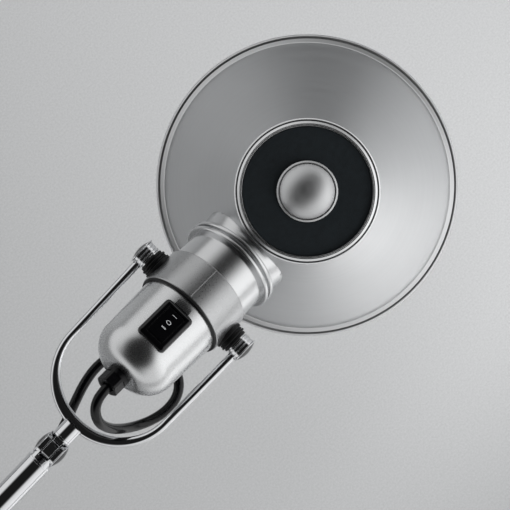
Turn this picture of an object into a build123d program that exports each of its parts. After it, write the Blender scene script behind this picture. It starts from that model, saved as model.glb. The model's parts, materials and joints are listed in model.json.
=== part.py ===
"""Jointed desk lamp with a conical shade, a wire fork and two tubular arms.

Millimetres. +X runs from the base towards the head, +Y is left, +Z is up, and the
origin is the centre of the underside. Every moving group is built in a frame of its
own and then placed, so its sizes can be changed without moving the others by hand.
"""
from build123d import *
from dataclasses import dataclass
import math
import os

os.makedirs("parts", exist_ok=True)

# ---- fits -------------------------------------------------------------------------
RUN = 0.05           # radial clearance of a turning fit
SEAT = 0.02          # radial clearance of a fixed round fit
FACE = 0.06          # gap between two faces that turn on each other
TRIM = 0.04          # gap left where a curved end is trimmed to the cone
OVER = 1.0           # how far a cut runs past what it cuts
SUNK = 0.4           # how far a flush screw lies below its surface

# ---- base -------------------------------------------------------------------------
PLATE_R = 105.0
PLATE_T = 15.0
PLATE_EDGE = 4.0
PAD_R = 98.0
PAD_T = 2.0
COVER_WALL = 1.2
COVER_GAP = 0.25
COVER_LIFT = 1.4     # height of the cover's lower edge above the plate's underside
RECESS_R = 21.0
RECESS_DEPTH = 9.0
BUSH_R = 9.0
BUSH_FLANGE_R = 22.0
BUSH_FLANGE_T = 5.0
BUSH_EDGE = 2.0
BASE_NUT_AF = 26.0
BASE_NUT_T = 4.7

# ---- post -------------------------------------------------------------------------
POST_R = 13.0
POST_EDGE = 1.0
POST_SHANK_R = 15.5  # round sides of the square part below the ears
POST_NECK_H = 17.0   # round part above the bush flange
SPIGOT_R = 6.0
CLIP_T = 1.2
CLIP_R = 8.4
CLIP_GROOVE = 0.8
CLIP_MOUTH = 7.2
SHOULDER_RISE = 36.0  # shoulder axis above the bush flange

# ---- arms -------------------------------------------------------------------------
TUBE_R = 7.7
TUBE_WALL = 1.2
LOWER_LENGTH = 360.0
UPPER_LENGTH = 400.0
LOWER_LEAN = 18.0    # degrees that the lower arm leans back from upright
FITTING_T = 2.4      # collar of a tongue's fitting outside its tube
PLUG_LENGTH = 18.0
FORK_FACE = 0.5      # plain collar of a forked fitting, before its bead
FERRULE_T = 1.1
FERRULE_STEP = 0.45
WASHER_T = 0.6
WASHER_INSET = 1.0   # washer edge inside the ear's edge
DISC_EDGE = 0.9      # straight edge of a domed head
SPRING_WIRE = 1.6
SPRING_GAP = 0.6     # radial room between spring and tube
SPRING_COILS = 36
ROD_R = 1.5
ROD_SEAT = 2.0
INLET_BORE_R = 3.2
INLET_WALL = 1.0
INLET_FLANGE_T = 1.4
INLET_RIM = 1.2
INLET_DEPTH = 1.0    # how far the bush reaches inside the tube's wall
TUBE_ROUND = 0.2     # flange clear of the tube's lowest line
INLET_PLACE = 118.0  # from the shoulder, on the underside of the lower arm


@dataclass(frozen=True)
class Pivot:
    """Sizes of one hinge between a forked end and a flat tongue."""

    ear_r: float         # round end of each ear
    half_fork: float     # half the width over the ears
    tongue_half: float   # half the thickness of the tongue
    bolt_r: float
    disc_r: float        # domed heads at both ends of the bolt
    disc_h: float
    neck_half: float     # half the height of the neck beside the tongue
    reach: float         # pivot to the fitting's collar
    collar_r: float      # radius of the fitting's collar


SHOULDER = Pivot(12.0, 12.0, 6.0, 4.0, 12.4, 3.6, 6.0, 22.0, 10.5)
ELBOW = Pivot(11.0, 10.0, 5.0, 3.5, 11.4, 3.4, 5.0, 26.0, 11.0)
WRIST = Pivot(7.7, 6.2, 2.9, 2.5, 8.3, 2.6, 4.0, 9.0, 7.5)

# ---- knuckle, stem and fork ---------------------------------------------------------
KNUCKLE_R = 7.4
STEM_R = 6.1
STEM_START = 8.7     # from the wrist pivot to the knuckle's round collar
KNUCKLE_COLLAR = 1.4
SPINDLE_R = 3.5
SPINDLE_LENGTH = 6.0
SPINDLE_ROOM = 0.4   # from the spindle's end to the bottom of its bore
SPINDLE_GROOVE = 0.5
GRUB_R = 1.2
GRUB_ROOM = 0.2      # groove wider than the screw, on each side
GRUB_GAP = 0.1       # from the screw's tip to the groove's floor
WRIST_TO_HEAD = 119.0
WIRE_R = 2.5
FORK_HALF = 38.0     # wire centre to the middle plane, at the drums
FORK_BEND_R = 37.2
FORK_LENGTH = 99.6   # head pivot to the middle of the bend
WIRE_END = 4.5       # wire end behind the head pivot, inside the drum

# ---- head -------------------------------------------------------------------------
HEAD_DROP = 29.2     # degrees that the head's axis dips at rest
COLLAR_R = 28.05
COLLAR_REAR = -12.0
COLLAR_FRONT = 11.8
COLLAR_EDGE = 0.6
NECK_R = 26.4
NECK_WALL = 1.2
CUP_R = 26.0
CUP_WALL = 1.6
CUP_FRONT = -1.2
CUP_STRAIGHT = -15.0
CUP_TAPER = 1.8      # degrees that the cup narrows behind its straight part
CUP_END = -64.0
CUP_ROUND = 16.3     # rounding between the cup's side and its flat end
SEAL_T = 1.3
SEAL_R = 27.6
BOSS_R = 9.6
BOSS_END = 30.4
SEAM_WIDTH = 0.4
SEAM_DEPTH = 0.3
DRUM_R = 7.5
DRUM_LENGTH = 6.7
DRUM_EDGE = 0.5
TRUNNION_R = 3.0
TRUNNION_DEPTH = 2.8
TRUNNION_DISC_R = 8.3
TRUNNION_DISC_H = 2.6
TRUNNION_JOIN = 0.5  # how far the screw's shank runs into its head
RIB_T = 1.2
RIB_COUNT = 3
RIB_R = 7.8
RIB_STEP = 0.6       # every other rib is smaller by this
CUP_SCREW_R = 1.5
CUP_SCREW_ANGLE = 40.0
CUP_SCREW_PLACE = 5.0  # ahead of the collar's rear edge
CUP_SCREW_PROUD = 0.6  # tip inside the cup's wall

SWITCH_X = -33.3
SWITCH_LENGTH = 27.4
SWITCH_WIDTH = 19.8
SWITCH_TOP = 26.9    # above the head's axis
SWITCH_DEPTH = 8.0
SWITCH_CORNER = 2.6
SWITCH_EDGE = 0.7
ROCKER_LENGTH = 19.0
ROCKER_WIDTH = 11.4
ROCKER_DEPTH = 5.6
ROCKER_SUNK = 0.1    # rocker's top below the frame's
ROCKER_CORNER = 0.5
ROCKER_GAP = 0.8
ROCKER_SIDE_GAP = 0.3
ROCKER_PIVOT = 4.1   # below the rocker's top
ROCKER_PIN_R = 0.9
ROCKER_PIN = 0.9
SWITCH_BODY_H = 6.0
SWITCH_BODY_INSET = 2.6
SWITCH_BODY_SIDE = 0.8
BLADE_LENGTH = 5.0
BLADE_WIDTH = 4.8
BLADE_T = 0.8
BLADE_PITCH = 7.0
BLADE_COUNT = 3

GLAND_R = 6.7
GLAND_LENGTH = 9.0
GLAND_EDGE = 1.0
GLAND_THREAD_R = 4.7
GLAND_THREAD = 5.0
GLAND_NUT_R = 7.6
GLAND_NUT_T = 2.6
CORD_R = 3.0
CORD_BORE_GAP = 0.05

HOLDER_R = 13.0
HOLDER_REAR = -8.5
HOLDER_FRONT = 18.0
BRACKET_T = 1.5
BRACKET_GAP = 0.3
BRACKET_HOLE_R = 4.0
HOLDER_SCREW_R = 1.5
HOLDER_SCREW_PCD_R = 8.5
HOLDER_SCREW_DEPTH = 5.0
HOLDER_SCREW_HEAD_R = 2.7
HOLDER_SCREW_HEAD = 1.6
CAP_R = 7.0
CAP_REAR = 0.0
CAP_LENGTH = 24.0
HOLDER_BORE_DEPTH = 20.0
HOLDER_BORE_GAP = 0.3
BULB_R = 22.5
BULB_CENTRE = 60.0
GLASS_NECK_R = 8.5
GLASS_NECK = 5.0
GLASS_WALL = 0.9
BULB_SPRING_ANGLE = 45.0  # degrees off the axis where the round part of the glass begins

# ---- shade ------------------------------------------------------------------------
NECK_ANGLE = 61.6    # degrees between the head's axis and the shade's axis
SHADE_ROLL = 4.6     # degrees that the shade is turned in the collar at rest
SHADE_REACH = 103.4  # head pivot to where the two axes cross
RIM_R = 88.5
TOP_R = 41.2
SHADE_H = 83.8
SHADE_WALL = 1.0
BEAD_R = 1.8
BEAD_OUT = 0.45      # bead's centre line outside the rim
NECK_SLANT = 30.0    # from the top edge, along the cone, to the neck's axis
TOP_FLANGE_R = 35.8
RING_IN_R = 37.2
RING_OUT_R = 41.6
RING_H = 3.0
RING_GROOVES = (38.6, 40.6)
RING_GROOVE_W = 0.6
RING_GROOVE_D = 0.7
RING_GAP = 0.3       # from the ring to the trimmed neck
DISC_GAP = 0.2
DISC_T = 1.5
KNOB_RING_R = 17.5
KNOB_RING_WALL = 1.8
KNOB_RING_H = 2.6
KNOB_H = 9.0
KNOB_EDGE = 2.0
BOLT_R = 2.5
BOLT_REACH = 5.4     # thread inside the knob
BRIDGE_WIDTH = 12.0
BRIDGE_T = 1.8
BRIDGE_GAP = 0.6
BOLT_AF = 8.0
BOLT_HEAD = 3.6

SADDLE_BACK = 74.1   # the saddle's rear edge behind the crossing of the two axes
SADDLE_R = 28.7
SADDLE_BEAD_R = 30.0
SADDLE_BEAD = 2.7
SADDLE_GROOVE = 1.4
SADDLE_FLARE_R = 31.8
SADDLE_LENGTH = 32.7
SADDLE_BOW = 0.2     # share of the flare that is reached halfway along it
NECK_REAR = 0.4
SNAP_X = 2.2
SNAP_W = 1.6
SNAP_GROOVE = 0.5
SNAP_ROOM = 0.15
SNAP_PROUD = 0.7
SNAP_MOUTH = 8.0

# ---- places worked out from the sizes above -------------------------------------------
PLATE_BOTTOM = PAD_T
PLATE_TOP = PAD_T + PLATE_T
COVER_TOP = PLATE_TOP + COVER_WALL
POST_FOOT = COVER_TOP + BUSH_FLANGE_T
RECESS_TOP = PLATE_BOTTOM + RECESS_DEPTH
BUSH_BOTTOM = RECESS_TOP - BASE_NUT_T
SHOULDER_Z = POST_FOOT + SHOULDER_RISE
TUBE_BORE_R = TUBE_R - TUBE_WALL
LEAN = math.radians(LOWER_LEAN)
ELBOW_X = -LOWER_LENGTH * math.sin(LEAN)
ELBOW_Z = SHOULDER_Z + LOWER_LENGTH * math.cos(LEAN)
WRIST_X = ELBOW_X + UPPER_LENGTH
HEAD_X = WRIST_X + WRIST_TO_HEAD

POST_AT = Location((0, 0, SHOULDER_Z))
LOWER_AT = Location((0, 0, SHOULDER_Z)) * Rot(0, -90 - LOWER_LEAN, 0)
UPPER_AT = Location((ELBOW_X, 0, ELBOW_Z))
ELBOW_ON_LOWER = LOWER_AT * Pos(LOWER_LENGTH, 0, 0)
WRIST_AT = Location((WRIST_X, 0, ELBOW_Z))
FORK_AT = Location((HEAD_X, 0, ELBOW_Z))
HEAD_AT = FORK_AT * Rot(0, HEAD_DROP, 0)
SHADE_AT = HEAD_AT * Rot(SHADE_ROLL, 0, 0)
SADDLE_START = SHADE_REACH - SADDLE_BACK
SADDLE_FLARE_END = SADDLE_START + SADDLE_LENGTH

CONE_SLOPE = (RIM_R - TOP_R) / SHADE_H
CONE_HALF = math.atan(CONE_SLOPE)
NECK_RAD = math.radians(NECK_ANGLE)
CONTACT_RADIUS = TOP_R + NECK_SLANT * math.sin(CONE_HALF)
CONTACT_HEIGHT = (RIM_R - CONTACT_RADIUS) / CONE_SLOPE
CROSSING_HEIGHT = CONTACT_HEIGHT - CONTACT_RADIUS / math.tan(NECK_RAD)
# The cone frame stands at the centre of the rim with +Z along the shade's axis.
CONE_AT = Pos(SHADE_REACH, 0, 0) * Rot(0, NECK_ANGLE - 90, 0) * Pos(0, 0, -CROSSING_HEIGHT)

nodes = {}


# ---- small helpers --------------------------------------------------------------------
def rod_x(radius, start, end):
    """Round bar along X."""
    return Pos(start, 0, 0) * Rot(0, 90, 0) * cylinder_up(radius, end - start)


def rod_y(radius, start, end):
    """Round bar along Y."""
    return Pos(0, start, 0) * Rot(-90, 0, 0) * cylinder_up(radius, end - start)


def cylinder_up(radius, height, base=0.0):
    """Round bar along Z that stands at a height."""
    return Pos(0, 0, base) * Cylinder(radius, height, align=(Align.CENTER, Align.CENTER, Align.MIN))


def tube_x(outer, inner, start, end):
    """Hollow round bar along X."""
    return rod_x(outer, start, end) - rod_x(inner, start - OVER, end + OVER)


def block(x0, x1, y0, y1, z0, z1):
    """Box between two corners."""
    return Pos(x0, y0, z0) * Box(x1 - x0, y1 - y0, z1 - z0, align=(Align.MIN, Align.MIN, Align.MIN))


def turned_x(edges):
    """Solid of revolution about X from a closed outline in the XY plane."""
    return revolve(make_face(Wire(edges)), Axis.X)


def turned_z(points):
    """Solid of revolution about Z from (radius, height) corners."""
    outline = Polyline(*[(r, 0, z) for r, z in points], close=True)
    return revolve(make_face(outline), Axis.Z)


def domed_disc(radius, height, edge=DISC_EDGE):
    """Screw head that stands on Z = 0, with a short straight edge and a domed top."""
    rise = height - edge
    ball_r = (radius ** 2 + rise ** 2) / (2 * rise)
    return cylinder_up(radius, height) & Pos(0, 0, height - ball_r) * Sphere(ball_r)


def hexagon(across_flats, height, base):
    """Hexagonal bar on the Z axis that stands at a height."""
    outline = RegularPolygon(across_flats / 2, 6, major_radius=False)
    return Pos(0, 0, base) * extrude(outline, height)


def keep(name, shape, place=Location()):
    """Put one node in its place and remember it."""
    nodes[name] = place * shape


# ---- base -------------------------------------------------------------------------
def base_parts():
    """Weight, cover, pad and the fixed half of the swivel."""
    plate = cylinder_up(PLATE_R, PLATE_T, PLATE_BOTTOM)
    plate = fillet(plate.edges().sort_by(Axis.Z)[-1], PLATE_EDGE)
    bush_hole = cylinder_up(BUSH_R + SEAT, COVER_TOP - PLATE_BOTTOM + 2 * OVER, PLATE_BOTTOM - OVER)
    plate -= bush_hole
    plate -= cylinder_up(RECESS_R, RECESS_DEPTH + OVER, PLATE_BOTTOM - OVER)
    keep("base_plate", plate)

    cover_in = PLATE_R + COVER_GAP
    cover_low = PLATE_BOTTOM + COVER_LIFT
    inner = cylinder_up(cover_in, PLATE_TOP - cover_low + OVER, cover_low - OVER)
    inner = fillet(inner.edges().sort_by(Axis.Z)[-1], PLATE_EDGE)
    outer = cylinder_up(cover_in + COVER_WALL, COVER_TOP - cover_low, cover_low)
    outer = fillet(outer.edges().sort_by(Axis.Z)[-1], PLATE_EDGE + COVER_WALL)
    keep("base_cover", outer - inner - bush_hole)

    keep("base_pad", cylinder_up(PAD_R, PAD_T))

    bush = cylinder_up(BUSH_R, COVER_TOP - BUSH_BOTTOM, BUSH_BOTTOM)
    flange = cylinder_up(BUSH_FLANGE_R, BUSH_FLANGE_T, COVER_TOP)
    flange = fillet(flange.edges().sort_by(Axis.Z)[-1], BUSH_EDGE)
    bore = cylinder_up(SPIGOT_R + RUN, POST_FOOT, 0)
    keep("base_bush", bush + flange - bore)

    nut_bore = cylinder_up(BUSH_R + SEAT, BASE_NUT_T + 2 * OVER, BUSH_BOTTOM - OVER)
    keep("base_nut", hexagon(BASE_NUT_AF, BASE_NUT_T, BUSH_BOTTOM) - nut_bore)


# ---- hinges -----------------------------------------------------------------------
def hinge_parts(name, pivot, place):
    """Bolt with a domed head, the domed nut opposite and the friction washers."""
    head = Pos(0, -pivot.half_fork, 0) * Rot(90, 0, 0) * domed_disc(pivot.disc_r, pivot.disc_h)
    tip = pivot.half_fork + pivot.disc_h * 0.5
    keep(name + "_bolt", head + rod_y(pivot.bolt_r, -pivot.half_fork, tip), place)

    nut = Pos(0, pivot.half_fork, 0) * Rot(-90, 0, 0) * domed_disc(pivot.disc_r, pivot.disc_h)
    keep(name + "_nut", nut - rod_y(pivot.bolt_r + SEAT, 0, tip), place)

    start = pivot.tongue_half + FACE
    ring = rod_y(pivot.ear_r - WASHER_INSET, start, start + WASHER_T)
    ring -= rod_y(pivot.bolt_r + SEAT, start - OVER, start + WASHER_T + OVER)
    keep(name + "_washers", Compound([ring, ring.mirror(Plane.XZ)]), place)


def fork_gap(pivot):
    """Half the free width between the ears of a hinge."""
    return pivot.tongue_half + FACE + WASHER_T


def forked_ears(pivot, depth, rear_r):
    """Both ears about a pivot at the origin, joined to what lies along -X."""
    rear = block(-depth, 0, -pivot.half_fork, pivot.half_fork, -pivot.ear_r, pivot.ear_r)
    ears = rod_y(pivot.ear_r, -pivot.half_fork, pivot.half_fork) + (rear & rod_x(rear_r, -depth, 0))
    gap = fork_gap(pivot)
    past = pivot.ear_r + OVER
    ears -= block(-pivot.reach, past, -gap, gap, -past, past)
    return ears - rod_y(pivot.bolt_r + SEAT, -pivot.half_fork - OVER, pivot.half_fork + OVER)


def flat_tongue(pivot, radius):
    """Tongue about a pivot at the origin, with its neck along +X."""
    plate = rod_y(radius, -pivot.tongue_half, pivot.tongue_half)
    neck = block(0, pivot.reach, -pivot.tongue_half, pivot.tongue_half, -pivot.neck_half, pivot.neck_half)
    return plate + neck - rod_y(pivot.bolt_r + RUN, -pivot.tongue_half - OVER, pivot.tongue_half + OVER)


# ---- post -------------------------------------------------------------------------
def post_parts():
    """Turning post with its spigot, the shoulder ears and the clip that holds it down."""
    foot = POST_FOOT + FACE - SHOULDER_Z
    spigot_end = BUSH_BOTTOM - FACE - CLIP_T - CLIP_GROOVE - SHOULDER_Z
    column = cylinder_up(POST_R, POST_NECK_H, foot)
    column = chamfer(column.edges().sort_by(Axis.Z)[0], POST_EDGE)
    half = SHOULDER.half_fork
    shank = block(-SHOULDER.ear_r, SHOULDER.ear_r, -half, half, foot + POST_NECK_H - OVER, 0)
    shank &= cylinder_up(POST_SHANK_R, SHOULDER_RISE, foot)
    body = column + shank + rod_y(SHOULDER.ear_r, -half, half)
    gap = fork_gap(SHOULDER)
    past = SHOULDER.ear_r + OVER
    body -= block(-POST_SHANK_R, POST_SHANK_R, -gap, gap, -past, past)
    body -= rod_y(SHOULDER.bolt_r + SEAT, -half - OVER, half + OVER)
    body += cylinder_up(SPIGOT_R, foot + OVER - spigot_end, spigot_end)
    clip_z = BUSH_BOTTOM - FACE - CLIP_T - SHOULDER_Z
    groove = cylinder_up(SPIGOT_R + OVER, CLIP_T, clip_z) - cylinder_up(SPIGOT_R - CLIP_GROOVE, CLIP_T, clip_z)
    keep("post", body - groove, POST_AT)
    clip = cylinder_up(CLIP_R, CLIP_T, clip_z) - cylinder_up(SPIGOT_R - CLIP_GROOVE + SEAT, CLIP_T, clip_z)
    mouth = block(0, CLIP_R + OVER, -CLIP_MOUTH / 2, CLIP_MOUTH / 2, clip_z - OVER, clip_z + CLIP_T + OVER)
    keep("post_clip", clip - mouth, POST_AT)


# ---- arms -------------------------------------------------------------------------
def coil_spring(outer, wire, start):
    """Close-wound spring about X, drawn as touching rings on a thin sleeve."""
    edges = []
    inner = outer - wire
    crest = outer - wire * 0.5
    for turn in range(SPRING_COILS):
        x = start + turn * wire
        edges.append(ThreePointArc((x, crest), (x + wire / 2, outer), (x + wire, crest)))
    end = start + SPRING_COILS * wire
    edges.append(Polyline((end, crest), (end, inner), (start, inner), (start, crest)))
    outline = [edge for item in edges for edge in item.edges()]
    return turned_x(outline)


def inlet_bush(bore_r, outside, inside):
    """Small flanged bush about Z with its flange down, for a lead to pass a tube wall."""
    barrel = cylinder_up(bore_r + INLET_WALL, outside + inside, -outside)
    flange = cylinder_up(bore_r + INLET_WALL + INLET_RIM, INLET_FLANGE_T, -outside)
    return barrel + flange - cylinder_up(bore_r, outside + inside + 2 * OVER, -outside - OVER)


def arm_parts(name, length, tail, head, place, tube_cut):
    """One arm about its lower pivot at the origin, along +X to its upper pivot."""
    tail_face = tail.reach + FITTING_T
    plug_end = tail_face + PLUG_LENGTH
    bead_start = -head.reach - FORK_FACE - FERRULE_T
    plug_r = TUBE_BORE_R - SEAT

    foot = flat_tongue(tail, tail.ear_r) + rod_x(TUBE_R, tail.reach, tail_face)
    foot += rod_x(plug_r, tail_face, plug_end)
    keep(name + "_tail", foot, place)

    ears = forked_ears(head, head.reach, head.collar_r)
    ears += rod_x(head.collar_r, -head.reach - FORK_FACE, -head.reach)
    ears += rod_x(TUBE_R + FERRULE_STEP, bead_start, -head.reach - FORK_FACE)
    ears += rod_x(plug_r, bead_start - PLUG_LENGTH, bead_start)
    keep(name + "_fork", Pos(length, 0, 0) * ears, place)

    tube = tube_x(TUBE_R, TUBE_BORE_R, tail_face, length + bead_start)
    keep(name + "_tube", tube - tube_cut, place)

    spring_r = TUBE_BORE_R - SPRING_GAP
    spring_end = plug_end + SPRING_COILS * SPRING_WIRE
    keep(name + "_spring", coil_spring(spring_r, SPRING_WIRE, plug_end), place)
    rod = rod_x(ROD_R, spring_end, length + bead_start - PLUG_LENGTH)
    rod += rod_x(spring_r - SPRING_WIRE * 0.5, spring_end, spring_end + ROD_SEAT)
    keep(name + "_rod", rod, place)


def lower_arm_parts():
    """Lower arm, with the bush where a mains lead would enter its tube."""
    seat = Pos(INLET_PLACE, 0, -TUBE_R + TUBE_WALL)
    hole = seat * cylinder_up(INLET_BORE_R + INLET_WALL + SEAT, 2 * TUBE_WALL + 2 * OVER, -2 * TUBE_WALL - OVER)
    arm_parts("lower_arm", LOWER_LENGTH, SHOULDER, ELBOW, LOWER_AT, hole)
    bush = inlet_bush(INLET_BORE_R, TUBE_WALL + INLET_FLANGE_T + TUBE_ROUND, INLET_DEPTH)
    keep("lead_inlet", seat * bush, LOWER_AT)


# ---- the lead between the head and the upper arm --------------------------------------
# Corners of the lead's route, from the head pivot, at rest.
LEAD_ROUTE = [
    (-56.7, 0.0, 31.7),
    (-68.8, 0.0, 38.46),
    (-78.2, -3.0, 37.2),
    (-84.0, -9.6, 29.8),
    (-84.6, -15.6, 17.5),
    (-82.4, -20.6, 4.0),
    (-77.6, -25.4, -9.0),
    (-69.0, -30.0, -17.5),
    (-58.0, -32.4, -21.0),
    (-47.5, -30.5, -22.5),
    (-39.8, -23.2, -22.5),
    (-37.2, -13.0, -22.0),
    (-39.5, -2.0, -21.5),
    (-46.5, 7.0, -20.5),
    (-56.5, 13.0, -19.0),
    (-68.5, 15.2, -17.5),
    (-81.0, 13.4, -16.3),
    (-93.5, 9.3, -15.8),
    (-106.0, 5.0, -16.6),
    (-118.5, 2.0, -18.0),
    (-130.5, 0.8, -18.8),
    (-141.5, 0.2, -17.3),
    (-152.5, 0.0, -12.4),
    (-162.0, 0.0, -5.0),
]
ENTRY_RUN = 2.0      # how far the entry bush reaches outside the tube
ENTRY_DEPTH = 2.5    # how far the entry bush reaches past the tube's outer face
ENTRY_WALL = 1.1
ENTRY_DRILL = 9.0
LEAD_ROUND = 0.45    # share of the shorter run that the arc at a corner takes


def lead_entry_place():
    """Frame on the upper arm's underside where the lead enters, with +Z along the lead."""
    (x0, _, z0), (x1, _, z1) = LEAD_ROUTE[-2:]
    share = (-TUBE_R - z0) / (z1 - z0)
    slope = math.degrees(math.atan2(x1 - x0, z1 - z0))
    return FORK_AT * Pos(x0 + share * (x1 - x0), 0, -TUBE_R) * Rot(0, slope, 0)


def lead_parts():
    """The flexible lead as runs and tangent arcs, and the bush where it enters the arm."""
    points = [Vector(*p) for p in LEAD_ROUTE]
    radii = []
    for before, here, after in zip(points, points[1:], points[2:]):
        half_turn = math.radians((here - before).get_angle(after - here)) / 2
        shorter = min((here - before).length, (after - here).length)
        radii.append(LEAD_ROUND * shorter / math.tan(half_turn))
    path = FilletPolyline(*points, radius=radii)
    lead = sweep(Plane(origin=path @ 0, z_dir=path % 0) * Circle(CORD_R), path)
    print("lead radii", [round(r, 1) for r in radii])
    plain_volume = path.length * math.pi * CORD_R ** 2
    print("lead length", round(path.length, 1), "volume ratio", lead.volume / plain_volume)
    keep("head_lead", lead, FORK_AT)
    bore = CORD_R + CORD_BORE_GAP
    sleeve = cylinder_up(bore + ENTRY_WALL, ENTRY_RUN + ENTRY_DEPTH, -ENTRY_RUN)
    sleeve -= cylinder_up(bore, ENTRY_RUN + ENTRY_DEPTH + 2 * OVER, -ENTRY_RUN - OVER)
    keep("lead_entry", sleeve, lead_entry_place())


def upper_arm_parts():
    """Upper arm, with the slanted hole for the lead on its underside."""
    drill = cylinder_up(CORD_R + CORD_BORE_GAP + ENTRY_WALL + SEAT, 2 * ENTRY_DRILL, -ENTRY_DRILL)
    hole = UPPER_AT.inverse() * lead_entry_place() * drill
    arm_parts("upper_arm", UPPER_LENGTH, ELBOW, WRIST, UPPER_AT, hole)


# ---- knuckle and fork -----------------------------------------------------------------
def knuckle_parts():
    """Wrist tongue with the spindle that the stem turns on."""
    tongue = flat_tongue(WRIST, KNUCKLE_R)
    collar_end = STEM_START + KNUCKLE_COLLAR
    collar = rod_x(STEM_R, STEM_START, collar_end)
    spindle = rod_x(SPINDLE_R, collar_end, collar_end + SPINDLE_LENGTH)
    mid = collar_end + SPINDLE_LENGTH * 0.5
    half = GRUB_R + GRUB_ROOM
    groove = tube_x(SPINDLE_R + OVER, SPINDLE_R - SPINDLE_GROOVE, mid - half, mid + half)
    keep("wrist_knuckle", tongue + collar + (spindle - groove), WRIST_AT)


def fork_path():
    """Middle line of the fork wire, from the left drum round to the right drum."""
    bend_x = -(FORK_LENGTH - FORK_BEND_R)
    run = -WIRE_END - bend_x
    reach = math.hypot(run, FORK_HALF)
    angle = math.atan2(FORK_HALF, run) + math.acos(FORK_BEND_R / reach)
    touch = (bend_x + FORK_BEND_R * math.cos(angle), FORK_BEND_R * math.sin(angle))
    left = Line((-WIRE_END, FORK_HALF, 0), (touch[0], touch[1], 0))
    bend = ThreePointArc((touch[0], touch[1], 0), (-FORK_LENGTH, 0, 0), (touch[0], -touch[1], 0))
    right = Line((touch[0], -touch[1], 0), (-WIRE_END, -FORK_HALF, 0))
    return Wire([left, bend, right])


def wire_along(path, radius):
    """Round wire along a path."""
    return sweep(Plane(origin=path @ 0, z_dir=path % 0) * Circle(radius), path)


def fork_parts():
    """Stem sleeve, fork wire and the two drums that hold its ends."""
    path = fork_path()
    clear = wire_along(path, WIRE_R + SEAT)
    keep("fork_wire", wire_along(path, WIRE_R), FORK_AT)

    start = STEM_START + KNUCKLE_COLLAR + FACE
    end = WRIST_TO_HEAD - FORK_LENGTH
    bore_end = STEM_START + KNUCKLE_COLLAR + SPINDLE_LENGTH + SPINDLE_ROOM
    grub_x = STEM_START + KNUCKLE_COLLAR + SPINDLE_LENGTH * 0.5
    grub_tip = SPINDLE_R - SPINDLE_GROOVE + GRUB_GAP
    sleeve = rod_x(STEM_R, start, end) - rod_x(SPINDLE_R + RUN, start - OVER, bore_end)
    sleeve -= Pos(grub_x, 0, 0) * cylinder_up(GRUB_R + SEAT, STEM_R + OVER, -STEM_R - OVER)
    keep("stem_sleeve", sleeve - Pos(WRIST_TO_HEAD, 0, 0) * clear, WRIST_AT)
    grub = Pos(grub_x, 0, 0) * cylinder_up(GRUB_R, STEM_R - SUNK - grub_tip, -STEM_R + SUNK)
    keep("stem_grub_screw", grub, WRIST_AT)

    inner = BOSS_END + RIB_COUNT * (RIB_T + SEAT) + FACE
    drum = rod_y(DRUM_R, inner, inner + DRUM_LENGTH)
    drum = chamfer(drum.edges().filter_by(GeomType.CIRCLE), DRUM_EDGE)
    drum -= rod_y(TRUNNION_R + RUN, inner - OVER, inner + DRUM_LENGTH + OVER)
    drum -= clear
    keep("fork_drums", Compound([drum, drum.mirror(Plane.XZ)]), FORK_AT)


# ---- head -------------------------------------------------------------------------
def cup_outline(inset):
    """Outline of the rear cup, from its open end round to the axis, at a depth in its wall."""
    taper = math.radians(CUP_TAPER)
    run = (CUP_STRAIGHT - CUP_END - CUP_ROUND * (1 - math.sin(taper))) / math.cos(taper)
    round_x = CUP_END + CUP_ROUND
    round_y = CUP_R - run * math.sin(taper) - CUP_ROUND * math.cos(taper)
    first = math.pi / 2 + taper
    bend = []
    for angle in (first, (first + math.pi) / 2, math.pi):
        reach = CUP_ROUND - inset
        bend.append((round_x + reach * math.cos(angle), round_y + reach * math.sin(angle)))
    front = CUP_FRONT + (OVER if inset else 0)
    side = Polyline((front, CUP_R - inset), (CUP_STRAIGHT, CUP_R - inset), bend[0])
    close = Polyline(bend[2], (CUP_END + inset, 0), (front, 0), (front, CUP_R - inset))
    return [*side.edges(), ThreePointArc(*bend), *close.edges()]


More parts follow.
